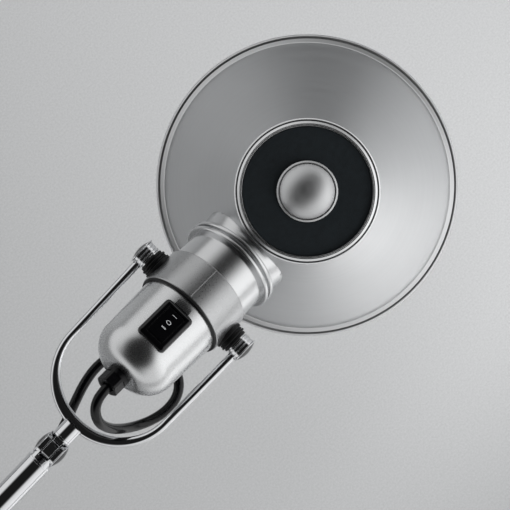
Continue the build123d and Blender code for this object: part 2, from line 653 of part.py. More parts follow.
def collar_parts():
    """Ring casting that holds cup and neck, its seal, ribs, trunnions and screws."""
    ring = rod_x(COLLAR_R, COLLAR_REAR, COLLAR_FRONT)
    ring = fillet(ring.edges().filter_by(GeomType.CIRCLE), COLLAR_EDGE)
    ring += rod_y(BOSS_R, -BOSS_END, BOSS_END)
    ring -= rod_x(NECK_R + RUN, CUP_FRONT, COLLAR_FRONT + OVER)
    ring -= rod_x(CUP_R + SEAT, COLLAR_REAR - OVER, CUP_FRONT)
    room = SNAP_X - SNAP_ROOM
    ring -= rod_x(NECK_R + SNAP_PROUD + SNAP_ROOM, room, SNAP_X + SNAP_W + SNAP_ROOM)
    ring -= rod_y(TRUNNION_R + SEAT, -BOSS_END - OVER, BOSS_END + OVER)
    half = SEAM_WIDTH / 2
    seam = block(COLLAR_REAR - OVER, COLLAR_FRONT + OVER, -half, half, COLLAR_R - SEAM_DEPTH, COLLAR_R + OVER)
    ring -= seam
    ring -= seam.mirror(Plane.XY)
    screws = cup_screw_bars(CUP_SCREW_R + SEAT, COLLAR_R + OVER)
    keep("collar", ring - screws, HEAD_AT)

    seal = tube_x(SEAL_R, CUP_R + SEAT, COLLAR_REAR - SEAL_T, COLLAR_REAR)
    keep("collar_seal", seal, HEAD_AT)
    keep("cup_screws", cup_screw_bars(CUP_SCREW_R, COLLAR_R - SUNK), HEAD_AT)

    ribs = []
    screw_list = []
    drum_end = BOSS_END + RIB_COUNT * (RIB_T + SEAT) + FACE + DRUM_LENGTH + FACE
    for turn in (0, 180):
        for step in range(RIB_COUNT):
            start = BOSS_END + SEAT + step * (RIB_T + SEAT)
            radius = RIB_R - RIB_STEP * (step % 2)
            rib = rod_y(radius, start, start + RIB_T)
            rib -= rod_y(TRUNNION_R + SEAT, start - OVER, start + RIB_T + OVER)
            ribs.append(Rot(0, 0, turn) * rib)
        shank = rod_y(TRUNNION_R, BOSS_END - TRUNNION_DEPTH, drum_end + TRUNNION_JOIN)
        cap = Pos(0, drum_end, 0) * Rot(-90, 0, 0) * domed_disc(TRUNNION_DISC_R, TRUNNION_DISC_H)
        screw_list.append(Rot(0, 0, turn) * (shank + cap))
    keep("trunnion_washers", Compound(ribs), HEAD_AT)
    keep("trunnion_screws", Compound(screw_list), HEAD_AT)


def cup_screw_bars(radius, outer):
    """Two radial bars under the collar, for the screws that hold the cup and for their holes."""
    inner = CUP_R - CUP_WALL - CUP_SCREW_PROUD
    bar = Pos(COLLAR_REAR + CUP_SCREW_PLACE, 0, 0) * cylinder_up(radius, outer - inner, -outer)
    return Compound([Rot(turn, 0, 0) * bar for turn in (CUP_SCREW_ANGLE, -CUP_SCREW_ANGLE)])


def cup_parts():
    """Rear cup with the gland for the lead."""
    cup = turned_x(cup_outline(0)) - turned_x(cup_outline(CUP_WALL))
    hole_x = SWITCH_LENGTH / 2 + SEAT
    hole_y = SWITCH_WIDTH / 2 + SEAT
    hole_low = SWITCH_TOP - SWITCH_DEPTH - SWITCH_BODY_H
    hole = block(-hole_x, hole_x, -hole_y, hole_y, hole_low, CUP_R + OVER)
    hole = fillet(hole.edges().filter_by(Axis.Z), SWITCH_CORNER)
    cup -= Pos(SWITCH_X, 0, 0) * hole
    cup -= rod_x(GLAND_THREAD_R + SEAT, CUP_END - OVER, CUP_END + CUP_WALL + OVER)
    keep("rear_cup", cup - cup_screw_bars(CUP_SCREW_R + SEAT, COLLAR_R + OVER), HEAD_AT)

    cord_bore = rod_x(CORD_R + CORD_BORE_GAP, CUP_END - GLAND_LENGTH - OVER, CUP_END + GLAND_THREAD + OVER)
    body = rod_x(GLAND_R, CUP_END - GLAND_LENGTH, CUP_END)
    body = fillet(body.edges().filter_by(GeomType.CIRCLE).sort_by(Axis.X)[0], GLAND_EDGE)
    body += rod_x(GLAND_THREAD_R, CUP_END, CUP_END + GLAND_THREAD)
    keep("lead_gland", body - cord_bore, HEAD_AT)
    nut_face = CUP_END + CUP_WALL
    keep("gland_nut", tube_x(GLAND_NUT_R, GLAND_THREAD_R + SEAT, nut_face, nut_face + GLAND_NUT_T), HEAD_AT)


def switch_parts():
    """Rocker switch let into the top of the cup."""
    half_x = SWITCH_LENGTH / 2
    half_y = SWITCH_WIDTH / 2
    base = SWITCH_TOP - SWITCH_DEPTH
    frame = block(-half_x, half_x, -half_y, half_y, base, SWITCH_TOP)
    frame = fillet(frame.edges().filter_by(Axis.Z), SWITCH_CORNER)
    frame = chamfer(frame.faces().sort_by(Axis.Z)[-1].edges(), SWITCH_EDGE)
    open_x = ROCKER_LENGTH / 2 + ROCKER_GAP
    open_y = ROCKER_WIDTH / 2 + ROCKER_SIDE_GAP
    frame -= block(-open_x, open_x, -open_y, open_y, base - OVER, SWITCH_TOP + OVER)
    rocker_top = SWITCH_TOP - ROCKER_SUNK
    pivot_z = rocker_top - ROCKER_PIVOT
    pin_half = ROCKER_WIDTH / 2 + ROCKER_SIDE_GAP + ROCKER_PIN
    frame -= Pos(0, 0, pivot_z) * rod_y(ROCKER_PIN_R + RUN, -pin_half - RUN, pin_half + RUN)
    place = HEAD_AT * Pos(SWITCH_X, 0, 0)
    keep("switch_frame", frame, place)

    rocker = block(-ROCKER_LENGTH / 2, ROCKER_LENGTH / 2, -ROCKER_WIDTH / 2, ROCKER_WIDTH / 2,
                   rocker_top - ROCKER_DEPTH, rocker_top)
    rocker = fillet(rocker.edges().filter_by(Axis.Z), ROCKER_CORNER)
    rocker += Pos(0, 0, pivot_z) * rod_y(ROCKER_PIN_R, -pin_half, pin_half)
    keep("switch_rocker", rocker, place)

    body_x = half_x - SWITCH_BODY_INSET
    body_y = half_y - SWITCH_BODY_SIDE
    body_low = base - SWITCH_BODY_H
    keep("switch_body", block(-body_x, body_x, -body_y, body_y, body_low, base), place)
    thick = BLADE_T / 2
    wide = BLADE_WIDTH / 2
    blade = block(-thick, thick, -wide, wide, body_low - BLADE_LENGTH, body_low)
    blades = []
    for number in range(BLADE_COUNT):
        blades.append(Pos((number - (BLADE_COUNT - 1) / 2) * BLADE_PITCH, 0, 0) * blade)
    keep("switch_blades", Compound(blades), place)


def lamp_parts():
    """Lamp holder on its bracket, its contact, and the lamp itself."""
    bracket_r = CUP_R - CUP_WALL - BRACKET_GAP
    bracket_rear = HOLDER_REAR - BRACKET_T
    bracket = tube_x(bracket_r, BRACKET_HOLE_R, bracket_rear, HOLDER_REAR)
    holder = rod_x(HOLDER_R, HOLDER_REAR, HOLDER_FRONT)
    bore_floor = HOLDER_FRONT - HOLDER_BORE_DEPTH
    holder -= rod_x(CAP_R + HOLDER_BORE_GAP, bore_floor, HOLDER_FRONT + OVER)
    bars = []
    holes = []
    screw_end = HOLDER_REAR + HOLDER_SCREW_DEPTH
    for side in (-1, 1):
        spot = Pos(0, side * HOLDER_SCREW_PCD_R, 0)
        head = rod_x(HOLDER_SCREW_HEAD_R, bracket_rear - HOLDER_SCREW_HEAD, bracket_rear)
        bars.append(spot * (rod_x(HOLDER_SCREW_R, bracket_rear, screw_end) + head))
        holes.append(spot * rod_x(HOLDER_SCREW_R + SEAT, bracket_rear - OVER, screw_end))
    keep("holder_bracket", bracket - Compound(holes), HEAD_AT)
    keep("lamp_holder", holder - Compound(holes), HEAD_AT)
    keep("holder_screws", Compound(bars), HEAD_AT)

    keep("bulb_cap", rod_x(CAP_R, CAP_REAR, CAP_REAR + CAP_LENGTH), HEAD_AT)
    keep("bulb_glass", bulb_body(0) - bulb_body(GLASS_WALL), HEAD_AT)


def bulb_body(inset):
    """Round lamp glass with its neck, moved inwards by inset."""
    start = CAP_REAR + CAP_LENGTH + inset
    neck_end = CAP_REAR + CAP_LENGTH + GLASS_NECK
    radius = BULB_R - inset
    neck_r = GLASS_NECK_R - inset
    angle = math.radians(BULB_SPRING_ANGLE)
    joint = (BULB_CENTRE - radius * math.cos(angle), radius * math.sin(angle))
    tip = (BULB_CENTRE + radius, 0)
    side = Polyline((start, 0), (start, neck_r), (neck_end, neck_r))
    curve = Spline((neck_end, neck_r), joint, tangents=[(1, 0), (math.sin(angle), math.cos(angle))])
    ball = ThreePointArc(joint, (BULB_CENTRE, radius), tip)
    return turned_x([*side.edges(), curve, ball, Line(tip, (start, 0))])


# ---- shade ------------------------------------------------------------------------
def cone_body(grow, low, high):
    """Solid inside the cone's outer face, moved outwards by grow, between two heights."""
    low_r = RIM_R + grow - CONE_SLOPE * low
    high_r = RIM_R + grow - CONE_SLOPE * high
    return turned_z([(0, low), (low_r, low), (high_r, high), (0, high)])


def shade_trim():
    """What the neck and the saddle are cut back with: the cone and the ring above it."""
    cone = cone_body(TRIM / math.cos(CONE_HALF), -RIM_R / 2, SHADE_H)
    return cone + cylinder_up(RING_OUT_R + RING_GAP, SHADE_H, SHADE_H - RING_H)


def shade_parts():
    """Spun cone with its rolled rim, hole for the neck and inward flange at the top."""
    wall = SHADE_WALL / math.cos(CONE_HALF)
    cone = cone_body(0, BEAD_R, SHADE_H) - cone_body(-wall, -OVER, SHADE_H - SHADE_WALL)
    cone -= cylinder_up(TOP_FLANGE_R, SHADE_WALL + 2 * OVER, SHADE_H - SHADE_WALL - OVER)
    bead = Pos(0, 0, BEAD_R) * Torus(RIM_R + BEAD_OUT, BEAD_R)
    neck_hole = CONE_AT.inverse() * rod_x(NECK_R - NECK_WALL, 0, SHADE_REACH)
    keep("shade", cone + bead - neck_hole, SHADE_AT * CONE_AT)


def neck_parts():
    """Neck that turns in the collar, the saddle that seats it on the cone, and its snap ring."""
    trim = CONE_AT * shade_trim()
    neck = tube_x(NECK_R, NECK_R - NECK_WALL, NECK_REAR, SHADE_REACH)
    neck -= tube_x(NECK_R + OVER, NECK_R - SNAP_GROOVE, SNAP_X, SNAP_X + SNAP_W)
    keep("neck", neck - trim, SHADE_AT)
    ring_r = NECK_R - SNAP_GROOVE + SEAT
    snap = tube_x(NECK_R + SNAP_PROUD, ring_r, SNAP_X + SEAT, SNAP_X + SNAP_W - SEAT)
    mouth = SNAP_MOUTH / 2
    snap -= block(SNAP_X - OVER, SNAP_X + SNAP_W + OVER, -mouth, mouth, -NECK_R - SNAP_PROUD - OVER, 0)
    keep("neck_snap_ring", snap, SHADE_AT)

    inner = NECK_R + SEAT
    x = SADDLE_START
    half = SADDLE_BEAD / 2
    first = ThreePointArc((x, SADDLE_R), (x + half, SADDLE_BEAD_R), (x + 2 * half, SADDLE_R))
    x += SADDLE_BEAD
    groove = Line((x, SADDLE_R), (x + SADDLE_GROOVE, SADDLE_R))
    x += SADDLE_GROOVE
    second = ThreePointArc((x, SADDLE_R), (x + half, SADDLE_BEAD_R), (x + 2 * half, SADDLE_R))
    x += SADDLE_BEAD
    middle = ((x + SADDLE_FLARE_END) / 2, SADDLE_R + SADDLE_BOW * (SADDLE_FLARE_R - SADDLE_R))
    flare = ThreePointArc((x, SADDLE_R), middle, (SADDLE_FLARE_END, SADDLE_FLARE_R))
    close = Polyline((SADDLE_FLARE_END, SADDLE_FLARE_R), (SADDLE_FLARE_END, inner), (SADDLE_START, inner),
                     (SADDLE_START, SADDLE_R))
    saddle = turned_x([first, groove, second, flare, *close.edges()])
    keep("neck_saddle", saddle - trim, SHADE_AT)


def vent_parts():
    """Top of the shade: bright ring, dark disc, knob, and what clamps them from inside."""
    place = SHADE_AT * CONE_AT
    ring = cylinder_up(RING_OUT_R, RING_H, SHADE_H) - cylinder_up(RING_IN_R, RING_H + 2 * OVER, SHADE_H - OVER)
    for radius in RING_GROOVES:
        cut = cylinder_up(radius + RING_GROOVE_W / 2, RING_H, SHADE_H + RING_H - RING_GROOVE_D)
        ring -= cut - cylinder_up(radius - RING_GROOVE_W / 2, 2 * RING_H, SHADE_H)
    keep("vent_ring", ring, place)

    clear = cylinder_up(BOLT_R + SEAT, SHADE_H, SHADE_H / 2)
    disc = cylinder_up(RING_IN_R - DISC_GAP, DISC_T, SHADE_H)
    keep("vent_disc", disc - clear, place)

    top = SHADE_H + DISC_T
    knob = Pos(0, 0, top) * domed_disc(KNOB_RING_R - KNOB_RING_WALL, KNOB_H, KNOB_EDGE)
    knob += cylinder_up(KNOB_RING_R, KNOB_RING_H, top)
    knob -= cylinder_up(BOLT_R + SEAT, BOLT_REACH, top)
    keep("shade_knob", knob, place)

    bridge_top = SHADE_H - SHADE_WALL
    half = TOP_R - SHADE_WALL - BRIDGE_GAP
    bridge = block(-BRIDGE_WIDTH / 2, BRIDGE_WIDTH / 2, -half, half, bridge_top - BRIDGE_T, bridge_top)
    bridge &= cylinder_up(half, BRIDGE_T, bridge_top - BRIDGE_T)
    keep("vent_bridge", bridge - clear, place)
    head_top = bridge_top - BRIDGE_T
    bolt = hexagon(BOLT_AF, BOLT_HEAD, head_top - BOLT_HEAD)
    bolt += cylinder_up(BOLT_R, top + BOLT_REACH - head_top, head_top)
    keep("knob_bolt", bolt, place)


base_parts()
post_parts()
hinge_parts("shoulder", SHOULDER, POST_AT)
lower_arm_parts()
hinge_parts("elbow", ELBOW, ELBOW_ON_LOWER)
upper_arm_parts()
hinge_parts("wrist", WRIST, WRIST_AT)
knuckle_parts()
fork_parts()
collar_parts()
cup_parts()
switch_parts()
lamp_parts()
shade_parts()
neck_parts()
vent_parts()
lead_parts()

for node_name, node_shape in nodes.items():
    export_step(node_shape, os.path.join("parts", node_name + ".step"))
print(len(nodes), "nodes")
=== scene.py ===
"""Dresses the jointed desk lamp: every visible piece, its finish, the lead, the light and the camera.

Pieces are modelled in millimetres on a bench, each in the plain frame of its own sub-assembly, and are
then set in their place, so that a finished piece's object lies at the origin with its place in its mesh.
"""
from __future__ import annotations

import json
import logging
import math
from contextlib import contextmanager
from dataclasses import dataclass, field
from enum import Enum
from typing import ClassVar, Iterable, Iterator, Sequence

import bpy
from mathutils import Matrix, Vector

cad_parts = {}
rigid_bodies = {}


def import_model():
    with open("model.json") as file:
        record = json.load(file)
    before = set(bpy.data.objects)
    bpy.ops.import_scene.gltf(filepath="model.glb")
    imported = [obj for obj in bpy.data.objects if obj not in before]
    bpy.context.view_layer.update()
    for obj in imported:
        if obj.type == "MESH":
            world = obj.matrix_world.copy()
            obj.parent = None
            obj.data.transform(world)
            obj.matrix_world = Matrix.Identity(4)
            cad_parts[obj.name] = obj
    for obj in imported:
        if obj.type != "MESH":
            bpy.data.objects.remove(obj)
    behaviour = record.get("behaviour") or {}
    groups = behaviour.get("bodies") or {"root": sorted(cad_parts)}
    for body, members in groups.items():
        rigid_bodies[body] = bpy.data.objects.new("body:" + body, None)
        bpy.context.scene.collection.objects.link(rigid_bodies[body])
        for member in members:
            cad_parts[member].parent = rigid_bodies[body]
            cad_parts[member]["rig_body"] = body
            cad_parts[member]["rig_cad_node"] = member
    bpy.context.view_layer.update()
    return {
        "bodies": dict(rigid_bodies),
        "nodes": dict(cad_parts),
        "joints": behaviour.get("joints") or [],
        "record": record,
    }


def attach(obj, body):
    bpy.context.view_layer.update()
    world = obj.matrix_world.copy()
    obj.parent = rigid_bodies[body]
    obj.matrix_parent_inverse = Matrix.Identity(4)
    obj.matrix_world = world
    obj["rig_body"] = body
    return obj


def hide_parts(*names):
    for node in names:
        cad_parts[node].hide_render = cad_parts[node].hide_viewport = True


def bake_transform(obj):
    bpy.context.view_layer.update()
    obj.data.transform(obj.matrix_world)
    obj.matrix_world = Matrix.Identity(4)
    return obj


LOG = logging.getLogger("desk_lamp")
MM = 0.001
TURNING_MAP = "turning"
MAP_LENGTH = 100.0    # millimetres along a turned piece that its map's V runs over
ARC_STEP = 9.0        # degrees between two points of a rounded corner
FLAT = 0.6            # degrees up to which two faces of a node are one
STRAIGHT = 178.0      # degrees from which a corner counts as straight
FULL_TURN = 2 * math.pi
NOISE_BODY = (0.3, 0.7)     # where nearly all of a noise's values lie
MARKS_ROUND = 3.0           # how often a lathe's marks change on their way round
CLOUDS_PER_METRE = 28.0     # soft clouds in a metal's tone
LEAST_MOTTLE = 0.04
INLET_AT, INLET_LOW, INLET_BORE = 118.0, -9.0, 4.22   # hole for the mains lead, up the lower arm
ENTRY_BORE = 4.17           # hole for the head's lead in the upper arm
CAPITAL = 0.7               # height of a capital as a share of its letter size

Corner = tuple[float, float, float]    # along, out, rounding
Spot = tuple[float, float, float]
Run = tuple[float, float]
Piece = bpy.types.Object
Material = bpy.types.Material
Node = bpy.types.Node
Socket = bpy.types.NodeSocket
Tree = bpy.types.NodeTree


class Spindle(Enum):
    """Axis that a piece is turned about on the bench."""

    X = (1.0, 0.0, 0.0)
    Y = (0.0, 1.0, 0.0)
    Z = (0.0, 0.0, 1.0)

    @property
    def axis(self) -> Vector:
        """The axis itself."""
        return Vector(self.value)

    @property
    def side(self) -> Vector:
        """Direction across the axis that outlines are drawn towards."""
        return Vector((1, 0, 0) if self is Spindle.Z else (0, 0, 1))


class Cut(Enum):
    """How one solid changes another."""

    TAKE_AWAY = "DIFFERENCE"
    JOIN = "UNION"


# ---- bench work
def lay_down_tools() -> None:
    """Leave edit mode and deselect everything."""
    if bpy.context.object and bpy.context.object.mode != "OBJECT":
        bpy.ops.object.mode_set(mode="OBJECT")
    bpy.ops.object.select_all(action="DESELECT")


def just_made(name: str) -> Piece:
    """Object that was just added, with its name."""
    bpy.context.object.name = name
    return bpy.context.object


def pick_up(piece: Piece) -> None:
    """Select one piece alone and make it active.

    Args:
        piece: The piece to work on.
    """
    lay_down_tools()
    piece.select_set(True)
    bpy.context.view_layer.objects.active = piece


@contextmanager
def editing(piece: Piece, action: str = "SELECT") -> Iterator[None]:
    """Edit a piece's mesh, then leave edit mode.

    Args:
        piece: The piece.
        action: What is selected at the start: SELECT for all, DESELECT for nothing.
    """
    pick_up(piece)
    bpy.ops.object.mode_set(mode="EDIT")
    bpy.ops.mesh.select_all(action=action)
    yield
    bpy.ops.object.mode_set(mode="OBJECT")


def apply_all(piece: Piece) -> None:
    """Apply every modifier on a piece.

    Args:
        piece: The piece whose modifiers become part of its mesh.
    """
    pick_up(piece)
    for modifier in list(piece.modifiers):
        bpy.ops.object.modifier_apply(modifier=modifier.name)


def close_up(piece: Piece, gap: float = 1e-4) -> None:
    """Merge doubled points and turn all faces outwards.

    Args:
        piece: The piece to close.
        gap: Distance under which two points are one.
    """
    with editing(piece):
        bpy.ops.mesh.remove_doubles(threshold=gap)
        bpy.ops.mesh.normals_make_consistent(inside=False)


def smooth(piece: Piece, degrees: float = 32.0) -> None:
    """Shade a piece smooth, keeping its sharp edges and letting its large faces set the normals.

    Args:
        piece: The piece.
        degrees: Edges that turn more than this stay sharp.
    """
    pick_up(piece)
    bpy.ops.object.shade_smooth_by_angle(angle=math.radians(degrees))
    weighted = piece.modifiers.new("weighted", "WEIGHTED_NORMAL")
    weighted.keep_sharp = True
    apply_all(piece)


def rotation(degrees: float, axis: str) -> Matrix:
    """Rotation about one of the axes X, Y and Z."""
    return Matrix.Rotation(math.radians(degrees), 4, axis)


def set_in_place(piece: Piece, place: Matrix) -> None:
    """Move a bench piece to its place and leave its object at the origin.

    Args:
        piece: The piece, modelled in millimetres.
        place: Frame of its sub-assembly, in metres.
    """
    piece.matrix_world = place @ Matrix.Scale(MM, 4)
    pick_up(piece)
    bpy.ops.object.transform_apply(location=True, rotation=True, scale=True)


def roll(piece: Piece, degrees: float) -> None:
    """Roll a bench piece about the X axis.

    Args:
        piece: The piece.
        degrees: How far it rolls.
    """
    piece.matrix_world = rotation(degrees, "X")
    pick_up(piece)
    bpy.ops.object.transform_apply(rotation=True)


def rounded(corners: Sequence[Corner], closed: bool = True) -> list[Run]:
    """Outline with every corner rounded by its own radius.

    Args:
        corners: (along, out, rounding) of each corner.
        closed: Whether the last corner is joined to the first.

    Returns:
        The outline's points as (along, out).
    """
    points: list[Run] = []
    count = len(corners)
    for index, (along, out, radius) in enumerate(corners):
        here = Vector((along, out))
        open_end = not closed and index in (0, count - 1)
        if radius <= 0 or open_end:
            points.append((along, out))
            continue
        before = Vector(corners[index - 1][:2]) - here
        after = Vector(corners[(index + 1) % count][:2]) - here
        angle = before.angle(after)
        if angle > math.radians(STRAIGHT):
            points.append((along, out))
            continue
        reach = min(radius / math.tan(angle / 2), before.length * 0.49, after.length * 0.49)
        true_radius = reach * math.tan(angle / 2)
        inwards = (before.normalized() + after.normalized()).normalized()
        centre = here + inwards * (true_radius / math.sin(angle / 2))
        start = here + before.normalized() * reach - centre
        turn = start.angle_signed(here + after.normalized() * reach - centre)
        pieces = max(2, math.ceil(math.degrees(abs(turn)) / ARC_STEP))
        for part in range(pieces + 1):
            spoke = Vector(start)
            spoke.rotate(Matrix.Rotation(-turn * part / pieces, 2))
            points.append(tuple(centre + spoke))
    return points


def arc(centre: Run, radius: float, start: float, end: float, parts: int) -> list[Corner]:
    """Corners along an arc, for an outline.

    Args:
        centre: (along, out) of its centre.
        radius: Its radius.
        start: First angle in degrees, from the along direction towards out.
        end: Last angle in degrees.
        parts: Number of chords.

    Returns:
        The corners, with no rounding of their own.
    """
    angles = [math.radians(start + (end - start) * part / parts) for part in range(parts + 1)]
    return [(centre[0] + radius * math.cos(a), centre[1] + radius * math.sin(a), 0.0) for a in angles]


def ridge(low: float, high: float, foot: float, out: float, at_foot: float, at_top: float) -> list[Corner]:
    """Four corners of a ridge, or of a groove, from its first foot to its last.

    Args:
        low: Where it starts along the axis.
        high: Where it ends.
        foot: Radius at its foot.
        out: Radius of its top, or of a groove's floor.
        at_foot: Rounding at its foot.
        at_top: Rounding at its top.

    Returns:
        The corners.
    """
    return [(low, foot, at_foot), (low, out, at_top), (high, out, at_top), (high, foot, at_foot)]


def ball_radius(reach: float, rise: float) -> float:
    """Radius of a ball whose cap has a radius of reach and a height of rise."""
    return (reach ** 2 + rise ** 2) / (2 * rise)


def dome(top: float, radius: float, rise: float, parts: int) -> list[Corner]:
    """Corners of a dome, from its edge to its middle.

    Args:
        top: Where its middle lies along the axis.
        radius: Radius of its edge.
        rise: Height of its middle over its edge.
        parts: Number of chords.

    Returns:
        The corners.
    """
    ball_r = ball_radius(radius, rise)
    return arc((top - ball_r, 0.0), ball_r, 0, math.degrees(math.asin(radius / ball_r)), parts)[::-1]


def turn(name: str, corners: Sequence[Corner], spindle: Spindle, closed: bool = True,
         steps: int = 144) -> Piece:
    """Turn a piece: extrude its outline point by point and spin it about its axis.

    Args:
        name: Name of the piece.
        corners: (along, out, rounding) of each corner of the outline.
        spindle: Axis that the piece is turned about.
        closed: Whether the outline is a loop, as on a hollow piece.
        steps: Number of steps round the piece.

    Returns:
        The turned piece, with a map round and along it.
    """
    lay_down_tools()
    points = [spindle.axis * along + spindle.side * out for along, out in rounded(corners, closed)]
    bpy.ops.mesh.primitive_plane_add(size=1.0)
    piece = just_made(name)
    path = points[1:] + ([points[0]] if closed else [])
    with editing(piece):
        bpy.ops.mesh.select_mode(type="VERT")
        bpy.ops.mesh.select_all(action="SELECT")
        bpy.ops.mesh.merge(type="CENTER")
        bpy.ops.transform.translate(value=points[0])
        for before, point in zip(points, path):
            bpy.ops.mesh.extrude_region_move(TRANSFORM_OT_translate={"value": point - before})
        bpy.ops.mesh.select_all(action="SELECT")
        bpy.ops.mesh.spin(steps=steps, angle=FULL_TURN, center=(0, 0, 0), axis=spindle.axis)
    close_up(piece)
    map_round(piece, spindle)
    smooth(piece)
    return piece


def map_round(piece: Piece, spindle: Spindle) -> None:
    """Give a piece a map whose U runs round an axis and whose V runs along it.

    Args:
        piece: The piece on the bench.
        spindle: The axis.
    """
    mesh = piece.data
    layer = mesh.uv_layers.get(TURNING_MAP) or mesh.uv_layers.new(name=TURNING_MAP)
    axis, side = spindle.axis, spindle.side
    across = axis.cross(side)
    for face in mesh.polygons:
        middle = math.atan2(face.center.dot(across), face.center.dot(side))
        for loop in face.loop_indices:
            point = mesh.vertices[mesh.loops[loop].vertex_index].co
            angle = math.atan2(point.dot(across), point.dot(side))
            angle += FULL_TURN * round((middle - angle) / FULL_TURN)
            spread = math.hypot(point.dot(across), point.dot(side))
            layer.data[loop].uv = (angle / FULL_TURN, (point.dot(axis) + spread) / MAP_LENGTH)


def bench_cylinder(name: str, radius: float, start: Vector, end: Vector, edge: float = 0.0,
                   sides: int = 96) -> Piece:
    """Round bar between two points, with softened ends.

    Args:
        name: Name of the piece.
        radius: Its radius.
        start: Middle of its first end.
        end: Middle of its last end.
        edge: Width of its softened edges.
        sides: Number of sides.

    Returns:
        The bar.
    """
    lay_down_tools()
    direction = end - start
    turned_to = direction.to_track_quat("Z", "Y").to_euler()
    bpy.ops.mesh.primitive_cylinder_add(radius=radius, depth=direction.length, vertices=sides,
                                        location=(start + end) / 2, rotation=turned_to)
    piece = just_made(name)
    bpy.ops.object.transform_apply(location=True, rotation=True, scale=True)
    if edge > 0:
        soften(piece, edge)
    return piece


def bench_box(name: str, low: Vector, high: Vector) -> Piece:
    """Box between two corners, for cutting and joining.

    Args:
        name: Name of the piece.
        low: Its lowest corner.
        high: Its highest corner.

    Returns:
        The box.
    """
    lay_down_tools()
    bpy.ops.mesh.primitive_cube_add(size=1.0, location=(low + high) / 2, scale=high - low)
    piece = just_made(name)
    bpy.ops.object.transform_apply(location=True, rotation=True, scale=True)
    return piece


def soften(piece: Piece, width: float, segments: int = 3, degrees: float = 32.0) -> None:
    """Bevel the sharp edges of a piece.

    Args:
        piece: The piece.
        width: Width of the bevel.
        segments: Steps in its curve.
        degrees: Angle from which an edge is sharp.
    """
    bevel = piece.modifiers.new("edge", "BEVEL")
    bevel.width = width
    bevel.segments = segments
    bevel.limit_method = "ANGLE"
    bevel.angle_limit = math.radians(degrees)
    apply_all(piece)


def cut(piece: Piece, other: Piece, how: Cut, solver: str = "EXACT") -> None:
    """Cut a piece with another, or join them.

    Args:
        piece: The piece that changes.
        other: The tool, which is used up.
        how: What is done.
        solver: The boolean's solver. MANIFOLD is the one for a thin closed shell.
    """
    boolean = piece.modifiers.new("cut", "BOOLEAN")
    boolean.operation = how.value
    boolean.solver = solver
    boolean.object = other
    apply_all(piece)
    bpy.data.objects.remove(other)


def copy_of_node(node: str, name: str, edge: float) -> Piece:
    """Merged copy of a construction node, with its flat faces whole and its edges softened.

    Args:
        node: The node to copy.
        name: Name of the new piece.
        edge: Width of its softened edges, in millimetres.

    Returns:
        The copy, which replaces the node.
    """
    lay_down_tools()
    source = bpy.data.objects[node]
    piece = source.copy()
    piece.data = source.data.copy()
    piece.name = name
    piece.parent = None
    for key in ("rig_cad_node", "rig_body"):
        if key in piece:
            del piece[key]
    bpy.context.scene.collection.objects.link(piece)
    close_up(piece, gap=2e-6)
    with editing(piece):
        bpy.ops.mesh.dissolve_limited(angle_limit=math.radians(FLAT))
    soften(piece, edge * MM, segments=2, degrees=40.0)
    smooth(piece, 38.0)
    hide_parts(node)
    return piece


# ---- finishes
def linear(hex_colour: str) -> tuple[float, float, float, float]:
    """Linear colour of an sRGB hex value.

    Args:
        hex_colour: Colour such as "#C8C9CA".

    Returns:
        Red, green, blue and alpha.
    """
    parts = [int(hex_colour[at:at + 2], 16) / 255 for at in (1, 3, 5)]
    red, green, blue = (p / 12.92 if p <= 0.04045 else ((p + 0.055) / 1.055) ** 2.4 for p in parts)
    return red, green, blue, 1.0


def add_node(tree: Tree, kind: str, inputs: dict | None = None, **settings: object) -> Node:
    """Add a node with its settings, its socket values and its links.

    Args:
        tree: The node tree.
        kind: Type of the node.
        inputs: By name or number, each input's value or the socket that feeds it.
        settings: The node's own settings.

    Returns:
        The node.
    """
    node = tree.nodes.new(kind)
    for key, value in settings.items():
        setattr(node, key, value)
    for key, value in (inputs or {}).items():
        if isinstance(value, Socket):
            tree.links.new(value, node.inputs[key])
        else:
            node.inputs[key].default_value = value
    return node


def start_material(name: str) -> tuple[Material, Tree, Node]:
    """New material with its Principled shader.

    Args:
        name: Name of the material.

    Returns:
        The material, its node tree and the shader.
    """
    material = bpy.data.materials.new(name)
    material.use_nodes = True
    tree = material.node_tree
    return material, tree, tree.nodes["Principled BSDF"]


def clothe(tree: Tree, shader: Node, finish: Metal | Moulded, tones: Sequence[Socket | tuple],
           marks: Socket, skin: Socket) -> None:
    """Give a shader a finish's tone, its uneven gloss and its relief.

    Args:
        tree: The node tree.
        shader: The shader.
        finish: The finish.
        tones: Socket of the clouds, and the colours where they are at zero and at one.
        marks: Socket of the marks that change the gloss.
        skin: Socket of the skin that is raised.
    """
    tone = add_node(tree, "ShaderNodeMix", dict(zip((0, 6, 7), tones)), data_type="RGBA")
    tree.links.new(tone.outputs[2], shader.inputs["Base Color"])
    rough = add_node(tree, "ShaderNodeMapRange", {
        "From Min": NOISE_BODY[0], "From Max": NOISE_BODY[1], "To Min": finish.roughness - finish.spread,
        "To Max": finish.roughness + finish.spread, "Value": marks,
    })
    tree.links.new(rough.outputs["Result"], shader.inputs["Roughness"])
    if finish.relief > 0:
        bump = add_node(tree, "ShaderNodeBump", {
            "Strength": 1.0, "Distance": finish.relief * MM, "Height": skin,
        })
        tree.links.new(bump.outputs["Normal"], shader.inputs["Normal"])


